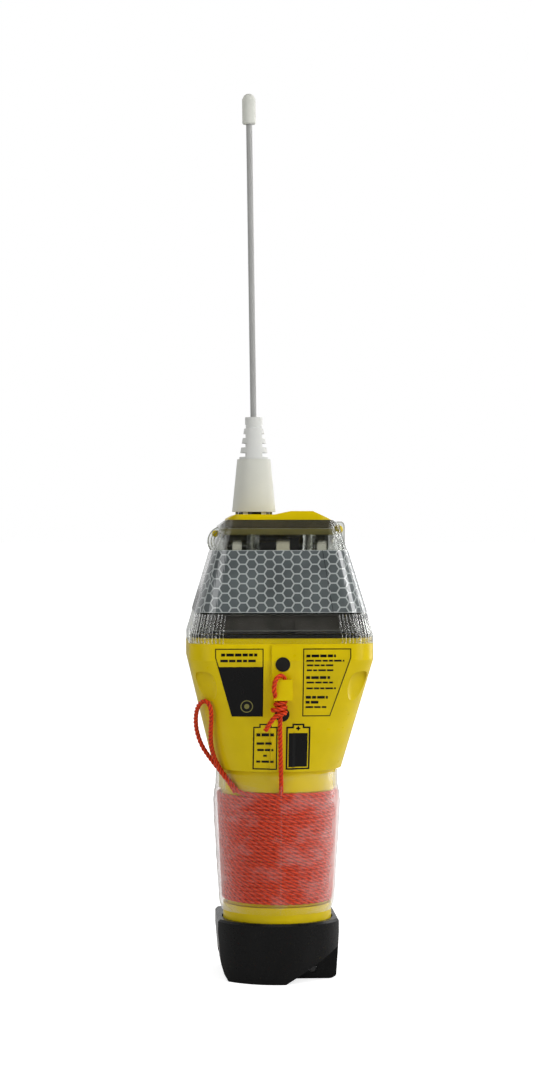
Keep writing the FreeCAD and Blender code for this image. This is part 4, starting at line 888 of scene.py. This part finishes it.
def make_prints(black, dull, pale):
    """Two labels, a plain ring mark and two battery pictures on the front, with bars for words."""
    left_box = [(-0.0272, 0.1474), (-0.0104, 0.1474), (-0.0104, 0.1845), (-0.0365, 0.1845),
                (-0.0365, 0.1796)]
    right_box = [(0.0110, 0.1474), (0.0262, 0.1474), (0.0370, 0.1796), (0.0370, 0.1845),
                 (0.0110, 0.1845)]
    printed("label_left_ground", [left_box], dull, BODY_GROUND_LIFT)
    printed("label_right_ground", [right_box], dull, BODY_GROUND_LIFT)
    black_field = [(-0.0272, 0.1474), (-0.0104, 0.1474), (-0.0104, 0.1747), (-0.0350, 0.1747)]
    heading = bars([(-0.0333, -0.0138, 0.1811, 0.0016), (-0.0337, -0.0133, 0.1779, 0.0014)])
    printed("label_left_print", line_round(left_box, 0.00055) + [inset(black_field, 0.0001)] + heading,
            black, PRINT_LIFT)
    mark = (-0.0192, 0.1530)
    printed("label_left_mark", ring_shapes(mark, 0.0034, 0.0005) + ring_shapes(mark, 0.0014, 0.0013, 16),
            pale, MARK_LIFT)
    rows = [
        (0.0127, 0.0287, 0.1805, 0.0015), (0.0127, 0.0333, 0.1779, 0.0010), (0.0130, 0.0273, 0.1754, 0.0010),
        (0.0130, 0.0283, 0.1727, 0.0010), (0.0127, 0.0257, 0.1687, 0.0015), (0.0130, 0.0273, 0.1660, 0.0010),
        (0.0130, 0.0290, 0.1628, 0.0010), (0.0127, 0.0247, 0.1579, 0.0015), (0.0127, 0.0197, 0.1552, 0.0015),
        (0.0127, 0.0240, 0.1525, 0.0010),
    ]
    printed("label_right_print", line_round(right_box, 0.00055) + bars(rows), black, PRINT_LIFT)
    left_rows = [
        (-0.0138, -0.0043, 0.1373, 0.0017), (-0.0136, -0.0042, 0.1325, 0.0013),
        (-0.0131, -0.0045, 0.1289, 0.0012), (-0.0099, -0.0080, 0.1257, 0.0010),
        (-0.0136, -0.0043, 0.1224, 0.0012),
    ]
    printed("battery_left_print", line_round(battery_outline(-1), 0.0007) + bars(left_rows),
            black, PRINT_LIFT)
    charge = [(0.0038, 0.1194), (0.0141, 0.1194), (0.0141, 0.1382), (0.0038, 0.1382)]
    plus = [[(0.00785, 0.1404), (0.01005, 0.1404), (0.01005, 0.1412), (0.00785, 0.1412)],
            [(0.00855, 0.1397), (0.00935, 0.1397), (0.00935, 0.1419), (0.00855, 0.1419)]]
    printed("battery_right_print", line_round(battery_outline(1), 0.0009) + [charge] + plus,
            black, PRINT_LIFT)


def make_back_prints(black, pale):
    """An arrow for the switch, rings round the test button and its light, and a card of plain bars."""
    arrow = [[(-0.0120, 0.1716), (0.0020, 0.1716), (0.0020, 0.1730), (-0.0120, 0.1730)],
             [(0.0020, 0.1702), (0.0070, 0.1723), (0.0020, 0.1744)]]
    button, lamp = (0.0110, 0.1478), (-0.0110, 0.1478)
    printed("switch_marks", arrow + ring_shapes(button, 0.0057, 0.0005) + ring_shapes(lamp, 0.0037, 0.0004),
            pale, HOUSING_LIFT, side=1, skin=HOUSING_SKIN)
    card = [(-0.0200, 0.1215), (0.0200, 0.1215), (0.0200, 0.1365), (-0.0200, 0.1365)]
    rows = [
        (-0.0180, 0.0150, 0.1341, 0.0014), (-0.0180, 0.0170, 0.1317, 0.0009),
        (-0.0180, 0.0120, 0.1295, 0.0009), (-0.0180, 0.0160, 0.1273, 0.0009),
        (-0.0180, 0.0080, 0.1251, 0.0009), (-0.0180, 0.0130, 0.1234, 0.0009),
    ]
    printed("back_card_print", line_round(card, 0.0006) + bars(rows), black, PRINT_LIFT, side=1)


# ---------------------------------------------------------------- small parts in and on the lens

def tube_along(name, line, radius, material, closed=False, sides=8):
    """A round bar along a line."""
    points, faces = [], []
    count = len(line)
    for number, centre in enumerate(line):
        before = line[(number - 1) % count] if closed or number else line[0]
        after = line[(number + 1) % count] if closed or number < count - 1 else line[-1]
        run = (after - before).normalized()
        across = run.cross(Vector((0, 0, 1)) if abs(run.z) < 0.9 else Vector((0, 1, 0))).normalized()
        upward = across.cross(run)
        for side in range(sides):
            turn = 2 * math.pi * side / sides
            points.append(centre + (across * math.cos(turn) + upward * math.sin(turn)) * radius)
    for number in range(count if closed else count - 1):
        here, beyond = number * sides, (number + 1) % count * sides
        for side in range(sides):
            following = (side + 1) % sides
            faces.append((here + side, here + following, beyond + following, beyond + side))
    if not closed:
        faces.append(tuple(reversed(range(sides))))
        faces.append(tuple(range((count - 1) * sides, count * sides)))
    mesh_piece(name, points, faces, material)


def round_line(height, inward, count=200):
    """Closed line round the lens at a height, moved inward from its outer face."""
    half = half_way_round(height, -inward)
    return [round_the_lens(-half + 2 * half * number / count, height, -inward) for number in range(count)]


def make_lens_trim(bead_highlight, roof_shade, flute_glass, ear_painted_edge_shade):
    """Painted highlights as beads on the carrier ring, a band of painted shade under the roof, flutes on the
    front corners, painted dark edge lines on the ears.
    """
    # painted highlights: pale bars round the top and bottom of the carrier ring
    for name, height, radius in HIGHLIGHT_BEADS:
        tube_along(name, round_line(height, HIGHLIGHT_BEAD_INWARD), radius, bead_highlight, closed=True)
    # painted shade: an olive-dark band under the roof, where the cap's underside lies in shade
    points = round_line(ROOF_SHADE_LOW, ROOF_SHADE_INWARD) + round_line(ROOF_SHADE_HIGH, ROOF_SHADE_INWARD)
    count = len(points) // 2
    faces = [(n, (n + 1) % count, count + (n + 1) % count, count + n) for n in range(count)]
    mesh_piece("roof_painted_shade", points, faces, roof_shade)
    flat_x = LENS_LOW[1] - LENS_LOW[3]
    for corner, side in enumerate((-1, 1)):
        for number in range(FLUTES):
            along = side * (flat_x - FLUTE_BEFORE_CORNER + number * FLUTE_PITCH)
            foot = round_the_lens(along, LENS_LOW[0], 0.0)
            head = round_the_lens(along * FLUTE_LEAN, FLUTE_TOP, 0.0)
            line = [foot - Vector((0, 0, FLUTE_SKIRT)), foot, foot.lerp(head, 0.5), head]
            tube_along(f"lens_flute_{corner}_{number}", line, 0.00036 + 0.00010 * (number % 3),
                       flute_glass, sides=10)
    # painted dark lines: grey bars drawn where the clear ears' edges show dark through the lens
    for number, radius in enumerate(EAR_ARCS):
        arc = []
        for step in range(25):
            turn = math.radians(100 + 165 * step / 24)
            arc.append(Vector((EAR_MIDDLE[0] + radius * math.cos(turn), EAR_Y,
                               EAR_MIDDLE[1] + radius * math.sin(turn))))
        tube_along(f"ear_arc_{number}", arc, EAR_LINE, ear_painted_edge_shade)
    tube_along("ear_edge", [Vector((x, EAR_Y, z)) for x, z in EAR_EDGE], EAR_LINE, ear_painted_edge_shade)


def make_fixing_plugs(material, count=20):
    """Soft plugs that close the bracket's screw holes until it is screwed up."""
    for number, (x, y) in enumerate(PLUGS):
        points = [Vector((x, y - PLUG_DISH, PLUG_HEIGHT))]
        for step in range(count):
            turn = 2 * math.pi * step / count
            points.append(Vector((x + PLUG_RADIUS * math.cos(turn), y,
                                  PLUG_HEIGHT + PLUG_RADIUS * math.sin(turn))))
        faces = [(0, 1 + step, 1 + (step + 1) % count) for step in range(count)]
        mesh_piece(f"fixing_plug_{number}", points, faces, material, body="bracket")


# ---------------------------------------------------------------- antenna sleeve

def make_sleeve(material):
    """The slotted strain relief, cut into thin slices."""
    form = bmesh.new()
    form.from_mesh(NODES["antenna_sleeve"].data)
    bmesh.ops.remove_doubles(form, verts=form.verts, dist=0.00001)
    low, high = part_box("antenna_sleeve")
    for number in range(1, SLEEVE_SLICES):
        height = lerp(low[2], high[2], number / SLEEVE_SLICES)
        everything = form.verts[:] + form.edges[:] + form.faces[:]
        bmesh.ops.bisect_plane(form, geom=everything, plane_co=(0, 0, height), plane_no=(0, 0, 1))
    mesh = bpy.data.meshes.new("strain_relief")
    form.to_mesh(mesh)
    form.free()
    mesh.materials.clear()
    mesh.materials.append(material)
    sleeve = placed("strain_relief", mesh)
    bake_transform(sleeve)
    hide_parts("antenna_sleeve")


# ---------------------------------------------------------------- put together

def dress(material, *names):
    for name in names:
        for slot in NODES[name].material_slots:
            slot.material = material


make_camera()
make_world()
make_lanyard(rope_material())
for lamp in LIGHTS:
    make_light(*lamp)
make_floor()

yellow = moulded("yellow_body", YELLOW, 0.32, worn=0.05, depth=0.00002, specular=0.16)
black = moulded("black_bracket", (0.0045, 0.0045, 0.0045), 0.28, worn=0.15, depth=0.00001, specular=0.14)
gloss_black = moulded("black_gloss", (0.022, 0.021, 0.020), 0.18, specular=0.5)
white = moulded("white_moulding", (0.60, 0.605, 0.55), 0.5, worn=0.03, specular=0.3)
rubber = moulded("dark_rubber_skin", (0.007, 0.0065, 0.006), 0.5, worn=0.2, specular=0.2)
steel = metal("steel_parts", (0.62, 0.60, 0.55), 0.3)
lens_glass = glass_that_lights("lens_clear", (0.95, 0.96, 0.94), 0.03, straight=0.55)
net = moulded("tape_net", (0.40, 0.43, 0.42), 0.4, worn=0.04, depth=0.00001, coat=1.0)
cells = moulded("tape_cell", (0.080, 0.094, 0.096), 0.4, worn=0.25, grain=4000.0, depth=0.00001,
                coat=1.0)
film = clear("film_clear", (0.86, 0.85, 0.83), 0.14, 0.022, 1.25, haze=0.12)
seam = clear("film_weld", (0.8, 0.75, 0.70), 0.25, 0.14, 0.5)
sleeve_white = moulded("sleeve_white", (0.62, 0.625, 0.60), 0.5, worn=0.03, specular=0.3)
flute_glass = glass_that_lights("flute_clear", (0.95, 0.96, 0.94), 0.03, straight=0.25)
# pale grey beads: painted highlights on the dark carrier ring
bead_highlight_grey = moulded("bead_painted_highlight", (0.10, 0.098, 0.094), 0.16, depth=0.00001)
olive_painted_shade = moulded("olive_painted_shade", (0.10, 0.085, 0.018), 0.4)
# grey for the ears' painted dark edge lines
ear_painted_edge_shade = moulded("ear_painted_edge_shade", (0.20, 0.195, 0.13), 0.2, depth=0.00001)
plug_grey = moulded("plug_grey", (0.035, 0.035, 0.034), 0.4)
ring_smoke = moulded("ring_smoke", (0.048, 0.044, 0.041), 0.22, worn=0.3, depth=0.00001)
print_black = ink("print_black", (0.003, 0.003, 0.003))
print_ground = ink("print_ground", tuple(c * 0.93 for c in YELLOW), 0.45)
print_white = ink("print_white", (0.55, 0.55, 0.52))
print_pale = ink("print_pale", (0.20, 0.19, 0.06))

dress(yellow, "body_shell", "foot_cap", "top_cap", "ear_pins")
dress(black, "bracket_cup", "switch_housing")
dress(ring_smoke, "carrier_ring")
dress(gloss_black, "sounder_can", "deck_plate", "antenna_socket", "driver_chip", "timer_chip",
      "processor_chip")
dress(rubber, "contact_stud_lower", "contact_stud_upper", "gasket_band", "foot_seal_ring", "test_button")
dress(white, "antenna_boot", "antenna_tip")
dress(lens_glass, "lens", "status_light", "reed_switch")
dress(net, "reflective_tape")
dress(steel, "bracket_magnet", "foot_screws", "contact_nuts", "standoffs", "loading_coil", "slider_magnet",
      "radio_shield")
dress(threaded("screw_thread", (0.62, 0.60, 0.55), 0.0006), "board_screws")
dress(moulded("board_green", (0.05, 0.07, 0.035), 0.4), "strobe_board", "main_board")
dress(moulded("cream_block", (0.62, 0.58, 0.45), 0.45), "satellite_patch", "booster_coil")
dress(moulded("led_amber", (0.62, 0.60, 0.52), 0.2), "strobe_leds")
dress(moulded("divider_dark", (0.035, 0.033, 0.026), 0.5), "divider_wall")
# the cap seal's dark olive is painted shade: it stands in for the yellow cap's skirt in shade inside the
# clear rim
dress(moulded("seal_olive_painted_shade", (0.060, 0.048, 0.022), 0.4, worn=0.25), "cap_seal")
dress(moulded("cell_blue", (0.06, 0.12, 0.26), 0.3), *[f"battery_cell_{n}" for n in range(1, 7)])
dress(moulded("pack_film", (0.05, 0.05, 0.06), 0.25), "battery_wrap", "battery_tray_lower",
      "battery_tray_upper")
dress(moulded("slider_red", (0.50, 0.02, 0.015), 0.4), "switch_slider", "seal_tab")
dress(moulded("whip_grey", (0.33, 0.33, 0.32), 0.45), "antenna_whip")

make_film(film, seam)
make_tape_cells(cells, print_black)
make_prints(print_black, print_ground, print_pale)
make_back_prints(print_black, print_white)
make_lens_trim(bead_highlight_grey, olive_painted_shade, flute_glass, ear_painted_edge_shade)
make_fixing_plugs(plug_grey)
make_sleeve(sleeve_white)

bpy.context.scene.view_settings.view_transform = "Standard"
